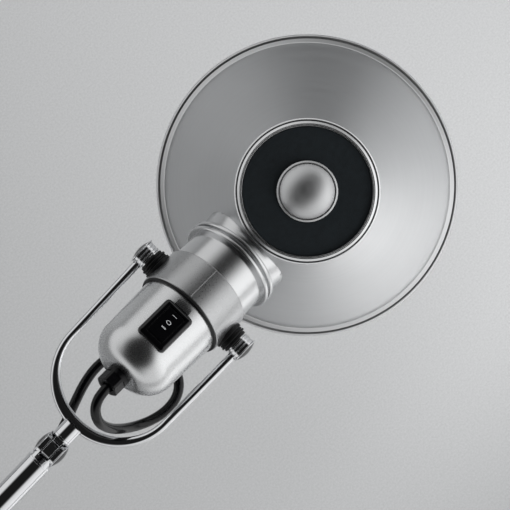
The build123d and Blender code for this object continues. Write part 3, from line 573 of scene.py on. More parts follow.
@dataclass(frozen=True)
class Metal:
    """Bare or plated metal with the marks that its making left."""

    name: str
    colour: str
    roughness: float
    grain: float = 0.5       # size of the marks, in millimetres
    spread: float = 0.04     # how much the marks change the roughness
    relief: float = 0.0      # height of the marks, in millimetres
    drawn: float = 0.0       # how strongly the marks run one way
    turned: bool = False     # marks run round the piece, as a lathe leaves them
    mottle: float = 0.0      # soft change of tone over a few centimetres

    def build(self) -> Material:
        """Make the material.

        Returns:
            The material.
        """
        material, tree, shader = start_material(self.name)
        shader.inputs["Metallic"].default_value = 1.0
        here = add_node(tree, "ShaderNodeTexCoord").outputs["Object"]
        if self.turned:
            where = add_node(tree, "ShaderNodeUVMap", uv_map=TURNING_MAP).outputs["UV"]
            scale = (MARKS_ROUND, MAP_LENGTH / self.grain, 1.0)
        else:
            where = here
            scale = (1 / (self.grain * MM),) * 3
        place = add_node(tree, "ShaderNodeMapping", {"Scale": scale, "Vector": where}).outputs["Vector"]
        marks, clouds = (
            add_node(tree, "ShaderNodeTexNoise", {"Scale": fine, "Detail": detail, "Vector": at}).outputs["Fac"]
            for fine, detail, at in ((1.0, 3.0, place), (CLOUDS_PER_METRE, 2.0, here))
        )
        light = linear(self.colour)
        dark = tuple(part * (1 - self.mottle - LEAST_MOTTLE) for part in light[:3]) + (1.0,)
        clothe(tree, shader, self, (clouds, dark, light), marks, marks)
        if self.drawn > 0:
            shader.inputs["Anisotropic"].default_value = self.drawn
            tangent = add_node(tree, "ShaderNodeTangent", direction_type="UV_MAP", uv_map=TURNING_MAP)
            tree.links.new(tangent.outputs["Tangent"], shader.inputs["Tangent"])
        return material


@dataclass(frozen=True)
class Moulded:
    """Moulded plastic, rubber or paint: a skin with fine grain and faint handling marks."""

    name: str
    colour: str
    second: str
    roughness: float
    grain: float = 0.6       # size of the skin's grain, in millimetres
    relief: float = 0.01     # height of the grain, in millimetres
    patch: float = 6.0       # size of the soft patches, in millimetres
    spread: float = 0.05     # how much the patches change the roughness
    coat: float = 0.0        # share of a clear coat
    shine: float = 0.5       # specular level: 0.5 is plain plastic, less is a dull skin

    def build(self) -> Material:
        """Make the material.

        Returns:
            The material.
        """
        material, tree, shader = start_material(self.name)
        shader.inputs["Coat Weight"].default_value = self.coat
        shader.inputs["Specular IOR Level"].default_value = self.shine
        here = add_node(tree, "ShaderNodeTexCoord").outputs["Object"]
        patches, skin = (
            add_node(tree, "ShaderNodeTexNoise", {
                "Scale": 1 / (size * MM), "Detail": detail, "Vector": here,
            }).outputs["Fac"] for size, detail in ((self.patch, 5.0), (self.grain, 2.0))
        )
        clothe(tree, shader, self, (patches, linear(self.colour), linear(self.second)), patches, skin)
        return material


@dataclass(frozen=True)
class OpalGlass:
    """Frosted lamp glass: lets light through and looks milky."""

    name: str = "opal_lamp_glass"
    colour: str = "#F2F1EC"
    second: str = "#E6E5DF"
    haze: float = 50 / 3         # size of its clouds, in millimetres
    roughness: float = 0.32
    let_through: float = 0.45    # share of the light that goes through

    def build(self) -> Material:
        """Make the material.

        Returns:
            The material.
        """
        material, tree, shader = start_material(self.name)
        here = add_node(tree, "ShaderNodeTexCoord").outputs["Object"]
        clouds = add_node(tree, "ShaderNodeTexNoise", {
            "Scale": 1 / (self.haze * MM), "Detail": 3.0, "Vector": here,
        })
        tone = add_node(tree, "ShaderNodeMix", {
            0: clouds.outputs["Fac"], 6: linear(self.second), 7: linear(self.colour),
        }, data_type="RGBA")
        tree.links.new(tone.outputs[2], shader.inputs["Base Color"])
        shader.inputs["Roughness"].default_value = self.roughness
        shader.inputs["Transmission Weight"].default_value = self.let_through
        return material


Finish = Metal | Moulded | OpalGlass


@dataclass
class Finishes:
    """Every finish on the lamp, made once."""

    # Spun and clear-anodised aluminium: soft, with long highlights across the spinning marks.
    spun: Metal = Metal("spun_anodised_aluminium", "#D3D4D5", 0.36, grain=0.9, spread=0.05, relief=0.004,
                        drawn=0.55, turned=True, mottle=0.03)
    # Turned and satin-anodised aluminium of the neck and the saddle.
    turned: Metal = Metal("turned_satin_aluminium", "#D4D5D6", 0.23, grain=0.5, spread=0.02, relief=0.0004,
                          drawn=0.35, turned=True, mottle=0.02)
    # Die-cast aluminium, bead-blasted: grey, with a fine sparkle.
    cast: Metal = Metal("bead_blasted_cast_aluminium", "#BABBBC", 0.33, grain=0.7, spread=0.08, relief=0.02,
                        mottle=0.04)
    # Pressed cup, finely blasted and anodised: smooth and soft.
    pressed: Metal = Metal("satin_pressed_aluminium", "#D6D7D8", 0.27, grain=0.6, spread=0.008, relief=0.0,
                           mottle=0.01)
    # Chromium plate on steel: a mirror with next to no haze.
    chrome: Metal = Metal("chromium_plate", "#E4E5E7", 0.07, grain=2.5, spread=0.02)
    # Turned aluminium, polished on a wheel.
    polished: Metal = Metal("polished_aluminium", "#DDDEDF", 0.22, grain=1.6, spread=0.03, drawn=0.3,
                            turned=True)
    # Turned aluminium knob, satin-anodised: a broad soft highlight.
    knob: Metal = Metal("satin_turned_aluminium_knob", "#D4D5D6", 0.46, grain=0.6, spread=0.03, relief=0.0006,
                        drawn=0.2, turned=True)
    # Cast and polished aluminium of the post.
    polished_cast: Metal = Metal("polished_cast_aluminium", "#CFD0D1", 0.2, grain=2.0, spread=0.05,
                                 relief=0.01)
    # Plain bright steel of hidden screws and springs.
    steel: Metal = Metal("bright_steel", "#B4B4B2", 0.30, grain=1.2, spread=0.06)
    # Brass strip of the switch contacts.
    brass: Metal = Metal("brass_strip", "#C8A55A", 0.28, grain=1.2, spread=0.05)
    # Charcoal paint over a textured primer: matt, with cloudy patches.
    charcoal: Moulded = Moulded("charcoal_textured_paint", "#0B0E10", "#1A1F22", 0.78, grain=0.9,
                                relief=0.05, patch=2.6, spread=0.06, shine=0.3)
    # Gloss ABS of the switch.
    gloss_black: Moulded = Moulded("gloss_abs", "#030304", "#050506", 0.09, grain=1.4, relief=0.002,
                                   patch=9.0, spread=0.03, coat=0.15, shine=0.4)
    # Nylon of the gland and the bushes.
    nylon: Moulded = Moulded("black_nylon", "#030304", "#060607", 0.28, grain=0.7, relief=0.006, shine=0.25)
    # Flexible PVC sheath of the lead.
    sheath: Moulded = Moulded("pvc_lead_sheath", "#020203", "#050506", 0.2, grain=1.0, relief=0.006,
                              patch=14.0, spread=0.03, shine=0.28)
    # Nitrile rubber of the seal, the ribbed washers and the pad.
    rubber: Moulded = Moulded("nitrile_rubber", "#050506", "#0B0B0C", 0.42, grain=0.7, relief=0.015,
                              shine=0.35)
    # Printed marks on the rocker.
    print_white: Moulded = Moulded("white_pad_print", "#9FA1A3", "#B4B6B8", 0.5, grain=0.8, relief=0.002)
    # Grey iron casting, painted.
    iron: Moulded = Moulded("painted_grey_iron", "#222325", "#2B2C2E", 0.6, grain=1.2, relief=0.08,
                            patch=12.0)
    # Steatite of the lamp holder.
    steatite: Moulded = Moulded("glazed_steatite", "#D9D5CB", "#E4E1D9", 0.24, grain=1.5, relief=0.006,
                                patch=8.0, coat=0.3)
    glass: OpalGlass = OpalGlass()
    made: dict[str, Material] = field(default_factory=dict)

    def get(self, finish: Finish) -> Material:
        """Material of a finish, made on first use.

        Args:
            finish: The finish.

        Returns:
            Its material.
        """
        if finish.name not in self.made:
            self.made[finish.name] = finish.build()
        return self.made[finish.name]


@dataclass(frozen=True)
class Bend:
    """Two bodies that a limp piece bends between, and where its bend starts and ends."""

    first: str
    last: str
    start: Spot
    end: Spot


@dataclass
class Workshop:
    """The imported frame, the finishes and the places that the sub-assemblies are built at."""

    frame: dict
    finishes: Finishes
    head_drop: float = 29.2          # degrees that the neck points down
    shade_roll: float = 4.6          # degrees that the shade is turned in the collar
    neck_angle: float = 61.6         # degrees between the neck and the shade's axis
    shade_reach: float = 103.4       # from the head pivot to the shade's axis
    crossing_height: float = 27.44   # height of that crossing over the rim

    def pivot(self, joint: str) -> Vector:
        """Point that a joint turns about.

        Args:
            joint: Name of the joint.

        Returns:
            The point, in metres.
        """
        found = next(item for item in self.frame["joints"] if item["name"] == joint)
        return Vector(found["pos_m"])

    @property
    def fork(self) -> Matrix:
        """Frame of the fork: the head pivot, level."""
        return Matrix.Translation(self.pivot("head_tilt"))

    @property
    def head(self) -> Matrix:
        """Frame of the head: +X along the neck."""
        return self.fork @ rotation(self.head_drop, "Y")

    @property
    def shade(self) -> Matrix:
        """Frame of the shade and neck, turned a little in the collar."""
        return self.head @ rotation(self.shade_roll, "X")

    @property
    def cone(self) -> Matrix:
        """Frame of the cone: the rim's centre, +Z up the shade's axis."""
        crossing = Matrix.Translation((self.shade_reach * MM, 0, 0))
        lean = rotation(self.neck_angle - 90, "Y")
        return self.shade @ crossing @ lean @ Matrix.Translation((0, 0, -self.crossing_height * MM))

    @property
    def wrist(self) -> Matrix:
        """Frame of the wrist hinge."""
        return Matrix.Translation(self.pivot("wrist_tilt"))

    @property
    def upper_arm(self) -> Matrix:
        """Frame of the upper arm: its elbow end, +X along the arm."""
        return Matrix.Translation(self.pivot("elbow_tilt"))

    @property
    def lower_arm(self) -> Matrix:
        """Frame of the lower arm: its shoulder end, +X along the arm."""
        low = self.pivot("shoulder_tilt")
        direction = self.pivot("elbow_tilt") - low
        pitch = -math.atan2(direction.z, direction.x)
        return Matrix.Translation(low) @ Matrix.Rotation(pitch, 4, "Y")

    @property
    def upper_length(self) -> float:
        """Length of the upper arm between its pivots, in millimetres."""
        return (self.pivot("wrist_tilt") - self.pivot("elbow_tilt")).length / MM

    @property
    def lower_length(self) -> float:
        """Length of the lower arm between its pivots, in millimetres."""
        return (self.pivot("elbow_tilt") - self.pivot("shoulder_tilt")).length / MM

    def deliver(self, piece: Piece, body: str | Bend, slot: str, finish: Finish,
                nodes: Iterable[str] = ()) -> None:
        """Give a finished piece its finish, attach it to its body or leave it in place between two, and hide
        the nodes that it stands for.

        Args:
            piece: The piece, in its place.
            body: Body that it rides on, or the two that it bends between.
            slot: Name of a material slot; not used.
            finish: Its finish.
            nodes: Construction nodes that it replaces.
        """
        piece.data.materials.clear()
        piece.data.materials.append(self.finishes.get(finish))
        if isinstance(body, Bend):
            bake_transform(piece)
        else:
            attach(piece, body)
        if nodes:
            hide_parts(*nodes)
        LOG.info("piece %s on %s: %d faces", piece.name, body, len(piece.data.polygons))

    def copy(self, node: str, name: str, edge: float, body: str, slot: str, finish: Finish) -> None:
        """Deliver a softened copy of a construction node.

        Args:
            node: The node.
            name: Name of the new piece.
            edge: Width of its softened edges, in millimetres.
            body: Body that it rides on.
            slot: The record's material slot.
            finish: Its finish.
        """
        self.deliver(copy_of_node(node, name, edge), body, slot, finish, [node])

    def dress(self, nodes: Iterable[str], finish: Finish) -> None:
        """Give construction nodes a finish.

        Args:
            nodes: Their names.
            finish: The finish.
        """
        for node in nodes:
            piece = self.frame["nodes"][node]
            if not piece.material_slots:
                piece.data.materials.append(None)
            for slot in piece.material_slots:
                slot.material = self.finishes.get(finish)


@dataclass
class SubAssembly:
    """Pieces that are built in one frame and ride on one body."""

    shop: Workshop
    rides_on: ClassVar[str] = "head"

    @property
    def home(self) -> Matrix:
        """Frame that the pieces are built in."""
        return self.shop.head

    @property
    def finishes(self) -> Finishes:
        """The workshop's finishes."""
        return self.shop.finishes

    def fit(self, piece: Piece, slot: str, finish: Finish, *nodes: str, body: str = "",
            turned: float = 0.0) -> None:
        """Set a bench piece in its place and deliver it.

        Args:
            piece: The piece on the bench.
            slot: The record's material slot.
            finish: Its finish.
            nodes: Construction nodes that it replaces.
            body: Body that it rides on, if not the sub-assembly's own.
            turned: Degrees that it is turned about the frame's Z axis.
        """
        place = self.home @ rotation(turned, "Z") if turned else self.home
        set_in_place(piece, place)
        self.shop.deliver(piece, body or self.rides_on, slot, finish, nodes)


# ---- light, floor and camera
@dataclass
class SoftBox:
    """One soft studio lamp, aimed at the head."""

    name: str
    offset: Spot               # from the head pivot, in metres
    size: Run
    power: float


@dataclass
class Studio:
    """Camera, floor and light."""

    shop: Workshop
    camera_offset: Spot = (0.1473, -0.0623, 1.4165)
    camera_right: Spot = (0.6901, -0.7194, -0.0784)
    camera_up: Spot = (0.7200, 0.6935, -0.0258)
    lens: float = 175.3
    sensor: float = 36.0
    farthest: float = 50.0
    floor_half: float = 4.0
    fibres_per_metre: float = 700.0
    painted_light_way: Spot = (0.75, 0.18, 0.0)   # way across the floor that its painted light runs: brighter to the right
    # where the painted light starts to brighten the floor, and where it is full
    painted_light_run: Run = (0.12, 0.48)
    painted_pool_run: Run = (-0.32, -0.62)     # where the painted pool of light on the near side starts, and where it is full
    painted_shade_run: Run = (-0.14, -0.38)     # where painted shade darkens the floor as it is seen
    spot: Spot = (0.54, 0.36, 0.0)   # middle of the painted dark patch, painted shade that shows in reflections, from the head pivot
    painted_dark_patch_run: Run = (0.48, 0.12)       # distances from its middle at which it starts and is full
    wall_level: float = 0.82           # brightness of the room's pale walls
    ceiling_level: float = 0.012       # and of the dark ceiling, which runs down ahead of the lamp
    ceiling_shift: float = 0.05        # how far to the left its middle lies
    ceiling_width: Run = (0.2, 0.82)   # half widths at which it starts to fade, and is gone
    ceiling_foot: Run = (0.22, 0.5)    # heights at which it starts, and is full
    ceiling_top: Run = (0.55, 0.85)    # heights between which it grows wider
    top_growth: float = 0.3            # and by how much
    window_level: float = 0.58         # what the bright side adds, low down on the right
    window_aim: Spot = (0.6, -0.8, -0.1)
    window_run: Run = (0.4, 1.05)
    boxes: tuple[SoftBox, ...] = (
        SoftBox("side_softbox", (0.3, -0.95, 0.28), (1.2, 0.6), 13.0),
        SoftBox("far_softbox", (0.4, -2.3, 0.9), (2.0, 1.2), 34.0),
        SoftBox("overhead_softbox", (0.62, 0.42, 1.15), (0.7, 0.7), 4.0),
        SoftBox("fill_softbox", (-0.5, 1.3, 0.35), (1.0, 0.8), 4.0),
    )

    def place_camera(self) -> None:
        """Stand the camera above the head, looking down on it."""
        lay_down_tools()
        bpy.ops.object.camera_add()
        camera = just_made("camera")
        right = Vector(self.camera_right).normalized()
        up = Vector(self.camera_up)
        up = (up - right * up.dot(right)).normalized()
        back = right.cross(up)
        turn_to = Matrix((right, up, back)).transposed().to_4x4()
        stand = self.shop.pivot("head_tilt") + Vector(self.camera_offset)
        camera.matrix_world = Matrix.Translation(stand) @ turn_to
        camera.data.lens = self.lens
        camera.data.sensor_width = self.sensor
        camera.data.clip_end = self.farthest
        bpy.context.scene.camera = camera

    def paper(self, middle: Vector) -> Material:
        """Pale card with a fine grain, and painted light and shade in its colour. A painted pool of light and a
        patch of painted shade show in reflections only.

        Args:
            middle: The head pivot.

        Returns:
            The material.
        """
        material, tree, shader = start_material("pale_card")
        here = add_node(tree, "ShaderNodeTexCoord").outputs["Object"]
        across = add_node(tree, "ShaderNodeVectorMath", {0: here, 1: self.painted_light_way}, operation="DOT_PRODUCT")
        depth = add_node(tree, "ShaderNodeSeparateXYZ", {0: here}).outputs["Y"]
        patch = middle.xy.to_3d() + Vector(self.spot)
        away = add_node(tree, "ShaderNodeVectorMath", {0: here, 1: patch}, operation="DISTANCE")
        fibres = add_node(tree, "ShaderNodeTexNoise", {
            "Scale": self.fibres_per_metre, "Detail": 3.0, "Vector": here,
        })
        rays = add_node(tree, "ShaderNodeLightPath")
        painted_light_share, painted_shade_share, near, painted_dark_patch_share = (
            add_node(tree, "ShaderNodeMapRange", {"Value": value, "From Min": run[0], "From Max": run[1]},
                     interpolation_type="SMOOTHSTEP").outputs["Result"]
            for value, run in ((across.outputs["Value"], self.painted_light_run), (depth, self.painted_shade_run),
                               (depth, self.painted_pool_run), (away.outputs["Value"], self.painted_dark_patch_run))
        )
        tones: dict[str, Socket] = {}
        # Tones of the card: a painted light gradient, painted shade where it is seen, a painted pool of light
        # and a painted dark patch; the last two show in reflections only.
        for name, blend, share, first, second in (
            ("card", "MIX", painted_light_share, "#BBBCBD", "#D0D1D2"),
            ("seen", "MIX", painted_shade_share, "card", "#949596"),
            ("bright", "MIX", near, "card", "#F4F4F4"),
            ("mirrored", "MIX", painted_dark_patch_share, "bright", "#7C7D7E"),
            ("base", "MIX", rays.outputs["Is Camera Ray"], "mirrored", "seen"),
            ("speck", "MIX", fibres.outputs["Fac"], "#DCDCDC", "#FFFFFF"),
            ("paper", "MULTIPLY", 1.0, "base", "speck"),
        ):
            pair = (tones[tone] if tone in tones else linear(tone) for tone in (first, second))
            inputs = dict(zip((0, 6, 7), (share, *pair)))
            tones[name] = add_node(tree, "ShaderNodeMix", inputs, data_type="RGBA", blend_type=blend).outputs[2]
        tree.links.new(tones["paper"], shader.inputs["Base Color"])
        shader.inputs["Roughness"].default_value = 0.9
        shader.inputs["Specular IOR Level"].default_value = 0.1
        return material

    def lay_floor(self) -> None:
        """Lay the pale floor under the lamp."""
        lay_down_tools()
        middle = self.shop.pivot("head_tilt")
        bpy.ops.mesh.primitive_plane_add(size=2 * self.floor_half, location=(middle.x, middle.y, 0))
        floor = just_made("floor")
        bpy.ops.object.transform_apply(location=True)
        floor.data.materials.append(self.paper(middle))

    def hang_lights(self) -> None:
        """Hang the soft lamps round the head."""
        middle = self.shop.pivot("head_tilt")
        for box in self.boxes:
            lay_down_tools()
            bpy.ops.object.light_add(type="AREA", location=middle + Vector(box.offset))
            lamp = just_made(box.name)
            lamp.rotation_euler = Vector(box.offset).to_track_quat("Z", "Y").to_euler()
            lamp.data.shape = "RECTANGLE"
            lamp.data.size, lamp.data.size_y = box.size
            lamp.data.energy = box.power
            lamp.visible_camera = False
            lamp.visible_glossy = False

    def light_world(self) -> None:
        """Light the room: pale walls, a dark ceiling that runs down ahead, and a bright side."""
        world = bpy.context.scene.world or bpy.data.worlds.new("room")
        bpy.context.scene.world = world
        world.use_nodes = True
        tree = world.node_tree
        back = tree.nodes["Background"]
        where = add_node(tree, "ShaderNodeTexCoord").outputs["Generated"]
        parts = add_node(tree, "ShaderNodeSeparateXYZ", {0: where}).outputs
        towards = add_node(tree, "ShaderNodeVectorMath", {0: where, 1: Vector(self.window_aim).normalized()},
                           operation="DOT_PRODUCT")
        shifted = add_node(tree, "ShaderNodeMath", {0: parts["Y"], 1: self.ceiling_shift}, operation="SUBTRACT")
        aside = add_node(tree, "ShaderNodeMath", {0: shifted.outputs[0]}, operation="ABSOLUTE")
        wider, foot, window = (
            add_node(tree, "ShaderNodeMapRange", {
                "Value": value, "From Min": run[0], "From Max": run[1], "To Min": low, "To Max": high,
            }, interpolation_type="SMOOTHSTEP").outputs["Result"]
            for value, run, low, high in (
                (parts["Z"], self.ceiling_top, 0.0, self.top_growth),
                (parts["Z"], self.ceiling_foot, 0.0, 1.0),
                (towards.outputs["Value"], self.window_run, self.wall_level,
                 self.wall_level + self.window_level),
            )
        )
        ahead = add_node(tree, "ShaderNodeMath", {0: aside.outputs[0], 1: wider}, operation="SUBTRACT")
        dimmed = add_node(tree, "ShaderNodeMapRange", {
            "Value": ahead.outputs[0], "From Min": self.ceiling_width[0], "From Max": self.ceiling_width[1],
            "To Min": self.wall_level - self.ceiling_level, "To Max": 0.0,
        }, interpolation_type="SMOOTHSTEP")
        ceiling = add_node(tree, "ShaderNodeMath", {0: dimmed.outputs["Result"], 1: foot}, operation="MULTIPLY")
        level = add_node(tree, "ShaderNodeMath", {0: window, 1: ceiling.outputs[0]}, operation="SUBTRACT")
        tree.links.new(level.outputs[0], back.inputs["Strength"])
        back.inputs["Color"].default_value = (1.0, 1.0, 1.0, 1.0)
        bpy.context.scene.view_settings.view_transform = "Standard"

    def build(self) -> None:
        """Build the whole studio."""
        self.place_camera()
        self.lay_floor()
        self.hang_lights()
        self.light_world()


# ---- the lead
@dataclass
class HeadLead:
    """Limp black lead from the gland to the upper arm."""

    shop: Workshop
    diameter: float = 6.0
    route: tuple[Spot, ...] = (
        (-56.7, 0.0, 31.7), (-68.8, 0.0, 38.46), (-78.2, -3.0, 37.2),
        (-84.0, -9.6, 29.8), (-84.6, -15.6, 17.5), (-82.4, -20.6, 4.0),
        (-77.6, -25.4, -9.0), (-69.0, -30.0, -17.5), (-58.0, -32.4, -21.0),
        (-47.5, -30.5, -22.5), (-39.8, -23.2, -22.5), (-37.2, -13.0, -22.0),
        (-39.5, -2.0, -21.5), (-46.5, 7.0, -20.5), (-56.5, 13.0, -19.0),
        (-68.5, 15.2, -17.5), (-81.0, 13.4, -16.3), (-93.5, 9.3, -15.8),
        (-106.0, 5.0, -16.6), (-118.5, 2.0, -18.0), (-130.5, 0.8, -18.8),
        (-141.5, 0.2, -17.3), (-152.5, 0.0, -12.4), (-162.0, 0.0, -5.0),
    )
    head_bend: Run = (-42.0, -78.0)      # along the arm: where it leaves the head for the fork
    swivel_bend: Run = (-82.0, -112.0)   # the fork for the knuckle
    wrist_bend: Run = (-115.0, -140.0)   # and the knuckle for the arm
    cuts: Run = (-78.8, -114.6)

    def start_line(self, name: str, kind: str,
                   points: Sequence[Vector]) -> tuple[bpy.types.Curve, bpy.types.Spline]:
        """Start a curve of one line on its points.

        Args:
            name: Name of the curve.
            kind: Type of its line.
            points: The points, in metres.

        Returns:
            The curve and its line.
        """
        curve = bpy.data.curves.new(name, "CURVE")
        curve.dimensions = "3D"
        spline = curve.splines.new(kind)
        spline.points.add(len(points) - 1)
        for slot, point in zip(spline.points, points):
            slot.co = (*point, 1.0)
        return curve, spline

    def draw_route(self) -> list[Vector]:
        """Draw the lead's line along its route.

        Returns:
            Its points, from the gland to the arm.
        """
        corners = [self.shop.fork @ (Vector(point) * MM) for point in self.route]
        curve, spline = self.start_line("lead_route", "NURBS", corners)
        curve.resolution_u = 24
        spline.order_u = 3
        spline.use_endpoint_u = True
        mesh = bpy.data.meshes.new_from_object(bpy.data.objects.new("lead_route", curve))
        line = [vertex.co.copy() for vertex in mesh.vertices]
        bpy.data.meshes.remove(mesh)
        bpy.data.curves.remove(curve)
        return line

    def lay_tube(self, name: str, line: Sequence[Vector], body: str | Bend) -> None:
        """Lay one length of the lead.

        Args:
            name: Its name.
            line: The points that it follows.
            body: What it rides on or bends between.
        """
        curve, _ = self.start_line(name, "POLY", line)
        curve.bevel_depth = self.diameter * MM / 2
        curve.bevel_resolution = 8
        curve.use_fill_caps = True
        tube = bpy.data.objects.new(name, curve)
        bpy.context.scene.collection.objects.link(tube)
        pick_up(tube)
        bpy.ops.object.convert(target="MESH")
        tube = bpy.context.object
        tube.name = name
        close_up(tube, 1e-6)
        smooth(tube, 40)
        self.shop.deliver(tube, body, "lead_rubber", self.shop.finishes.sheath, ["head_lead"])

    def along(self, x: float) -> Spot:
        """Point so many millimetres along the level arm from the head pivot, in metres."""
        return tuple(self.shop.fork @ (Vector((x, 0, 0)) * MM))

    def build(self) -> None:
        """Lay the lead in four lengths that meet at the joints: the first rides on the head, the other three
        stay in place between two bodies each.
        """
        line = self.draw_route()
        front = max(range(len(line)), key=lambda number: line[number].x)
        past = [[number for number in range(front, len(line)) if line[number].x < self.along(x)[0]]
                for x in self.cuts]
        stops = [front, past[0][0], past[1][0], len(line) - 1]
        self.lay_tube("black_lead_at_head", line[:front + 1], "head")
        joints = (("fork", "head", "fork", self.head_bend), ("knuckle", "fork", "knuckle", self.swivel_bend),
                  ("arm", "knuckle", "upper_arm", self.wrist_bend))
        for (word, first, last, (start, end)), low, high in zip(joints, stops, stops[1:]):
            bend = Bend(first, last, self.along(start), self.along(end))
            self.lay_tube(f"black_lead_at_{word}", line[low:high + 1], bend)


# ---- shade
@dataclass
class Shade(SubAssembly):
    """Spun conical shade with the ring, the disc and the knob on its top."""

    rides_on: ClassVar[str] = "shade_group"
    rim_r: float = 88.5
    top_r: float = 41.2
    height: float = 83.8
    wall: float = 1.0
    bead_r: float = 1.8
    bead_out: float = 0.45
    bead_sweep: Run = (78.0, -150.0)   # degrees from which the rolled rim runs, and to which
    bead_inside: float = 0.4           # from the bead's middle up to where the cone's inner face starts
    bead_outside: float = 1.2          # from the bead's top up to where its outer face ends
    clear: float = 0.3
    flange_r: float = 35.8
    neck_bore_r: float = 25.2
    ring_in: float = 37.2
    ring_out: float = 41.6
    ring_height: float = 3.0
    grooves: tuple[tuple[float, ...], ...] = (   # radius, width, depth, level under the top, both roundings
        (38.25, 0.3, 0.7, 0.0, 0.3, 0.35), (40.3, 0.7, 1.0, 1.1, 0.25, 0.2))
    land_fall: float = 1.1
    disc_r: float = 37.0
    disc_t: float = 1.5
    knob_ring_r: float = 17.5
    knob_ring_wall: float = 1.8
    knob_ring_h: float = 2.6
    knob_height: float = 9.0
    knob_edge: float = 2.0
    knob_groove: float = 0.45
    knob_groove_depth: float = 1.2

    @property
    def home(self) -> Matrix:
        """The cone's frame."""
        return self.shop.cone

    @property
    def slope(self) -> float:
        """How much the radius shrinks for each millimetre of height."""
        return (self.rim_r - self.top_r) / self.height

    def on_cone(self, height: float, rounding: float, grow: float = 0.0) -> Corner:
        """Corner on the cone's outer face at a height, moved outwards by grow."""
        return height, self.rim_r + grow - self.slope * height, rounding

    def solid_cone(self, grow: float) -> Piece:
        """Solid inside the shade's outer face, for trimming what sits on it.

        Args:
            grow: How far the face is moved outwards.

        Returns:
            The solid, in the cone's frame.
        """
        low = -self.rim_r / 2
        top = self.height + 2 * self.ring_height
        corners = [
            (low, 0.0, 0.0),
            self.on_cone(low, 0.0, grow),
            self.on_cone(self.height, 0.0, grow),
            (self.height, self.ring_out + self.clear, 0.0), (top, self.ring_out + self.clear, 0.0),
            (top, 0.0, 0.0),
        ]
        return turn("cone_tool", corners, Spindle.Z, closed=False, steps=288)

    def build_cone(self) -> None:
        """Spin the cone with its rolled rim, and cut the hole for the neck."""
        inner = -self.wall * math.hypot(1, self.slope)
        bead = (self.bead_r, self.rim_r + self.bead_out)
        under_top = self.height - self.wall
        corners = [
            *arc(bead, self.bead_r, *self.bead_sweep, 20),
            self.on_cone(self.bead_inside + self.bead_r, 0.4, inner),
            self.on_cone(under_top, 1.2, inner),
            (under_top, self.flange_r, 0.3), (self.height, self.flange_r, 0.3),
            self.on_cone(self.height, 1.6),
            self.on_cone(self.bead_r * 2 + self.bead_outside, 2.0),
        ]
        shade = turn("shade_cone", corners, Spindle.Z, steps=288)
        reach = self.home.inverted() @ self.shop.shade
        start, end = (reach @ Vector((along * MM, 0, 0)) / MM for along in (0, self.shop.shade_reach))
        hole = bench_cylinder("neck_hole", self.neck_bore_r, start, end)
        cut(shade, hole, Cut.TAKE_AWAY, solver="MANIFOLD")
        smooth(shade, 40)
        self.fit(shade, "shade_satin", self.finishes.spun, "shade")

    def build_ring(self) -> None:
        """Turn the bright ring: a narrow flat land, then two sloping ones, with a groove between each."""
        level = self.height + self.ring_height
        corners = [(self.height, self.ring_in, 0.1), (level, self.ring_in, 0.3)]
        for radius, width, depth, fall, first, last in self.grooves:
            level = self.height + self.ring_height - fall
            low, high = radius - width / 2, radius + width / 2
            corners += [(level, low, first), (level - depth, low, 0.05), (level - depth, high, 0.05),
                        (level, high, last)]
        corners += [(level - self.land_fall * 0.7, self.ring_out, 0.2), (self.height, self.ring_out, 0.1)]
        ring = turn("vent_bright_ring", corners, Spindle.Z, steps=216)
        self.fit(ring, "ring_polished", self.finishes.polished, "vent_ring")

    def build_disc(self) -> None:
        """Turn the dark disc with softened edges."""
        corners = [
            (self.height, 0.0, 0.0), (self.height, self.disc_r, 0.1),
            (self.height + self.disc_t, self.disc_r, 0.35), (self.height + self.disc_t, 0.0, 0.0),
        ]
        disc = turn("vent_dark_disc", corners, Spindle.Z, closed=False)
        self.fit(disc, "vent_dark", self.finishes.charcoal, "vent_disc")

    def build_knob(self) -> None:
        """Turn the domed knob and the raised ring round it."""
        foot = self.height + self.disc_t
        dome_r = self.knob_ring_r - self.knob_ring_wall
        rim = foot + self.knob_ring_h
        floor = rim - self.knob_groove_depth
        corners = [
            (foot, 0.0, 0.0), (foot, self.knob_ring_r, 0.15), (rim - self.land_fall, self.knob_ring_r, 0.3),
            (rim, dome_r + self.knob_groove, 0.3), (floor, dome_r + self.knob_groove, 0.1),
            (floor, dome_r, 0.1),
            *dome(foot + self.knob_height, dome_r, self.knob_height - self.knob_edge, 26),
        ]
        knob = turn("shade_domed_knob", corners, Spindle.Z, closed=False)
        self.fit(knob, "knob_satin", self.finishes.knob, "shade_knob")

    def build(self) -> None:
        """Build every piece on the shade's own axis."""
        self.build_cone()
        self.build_ring()
        self.build_disc()
        self.build_knob()


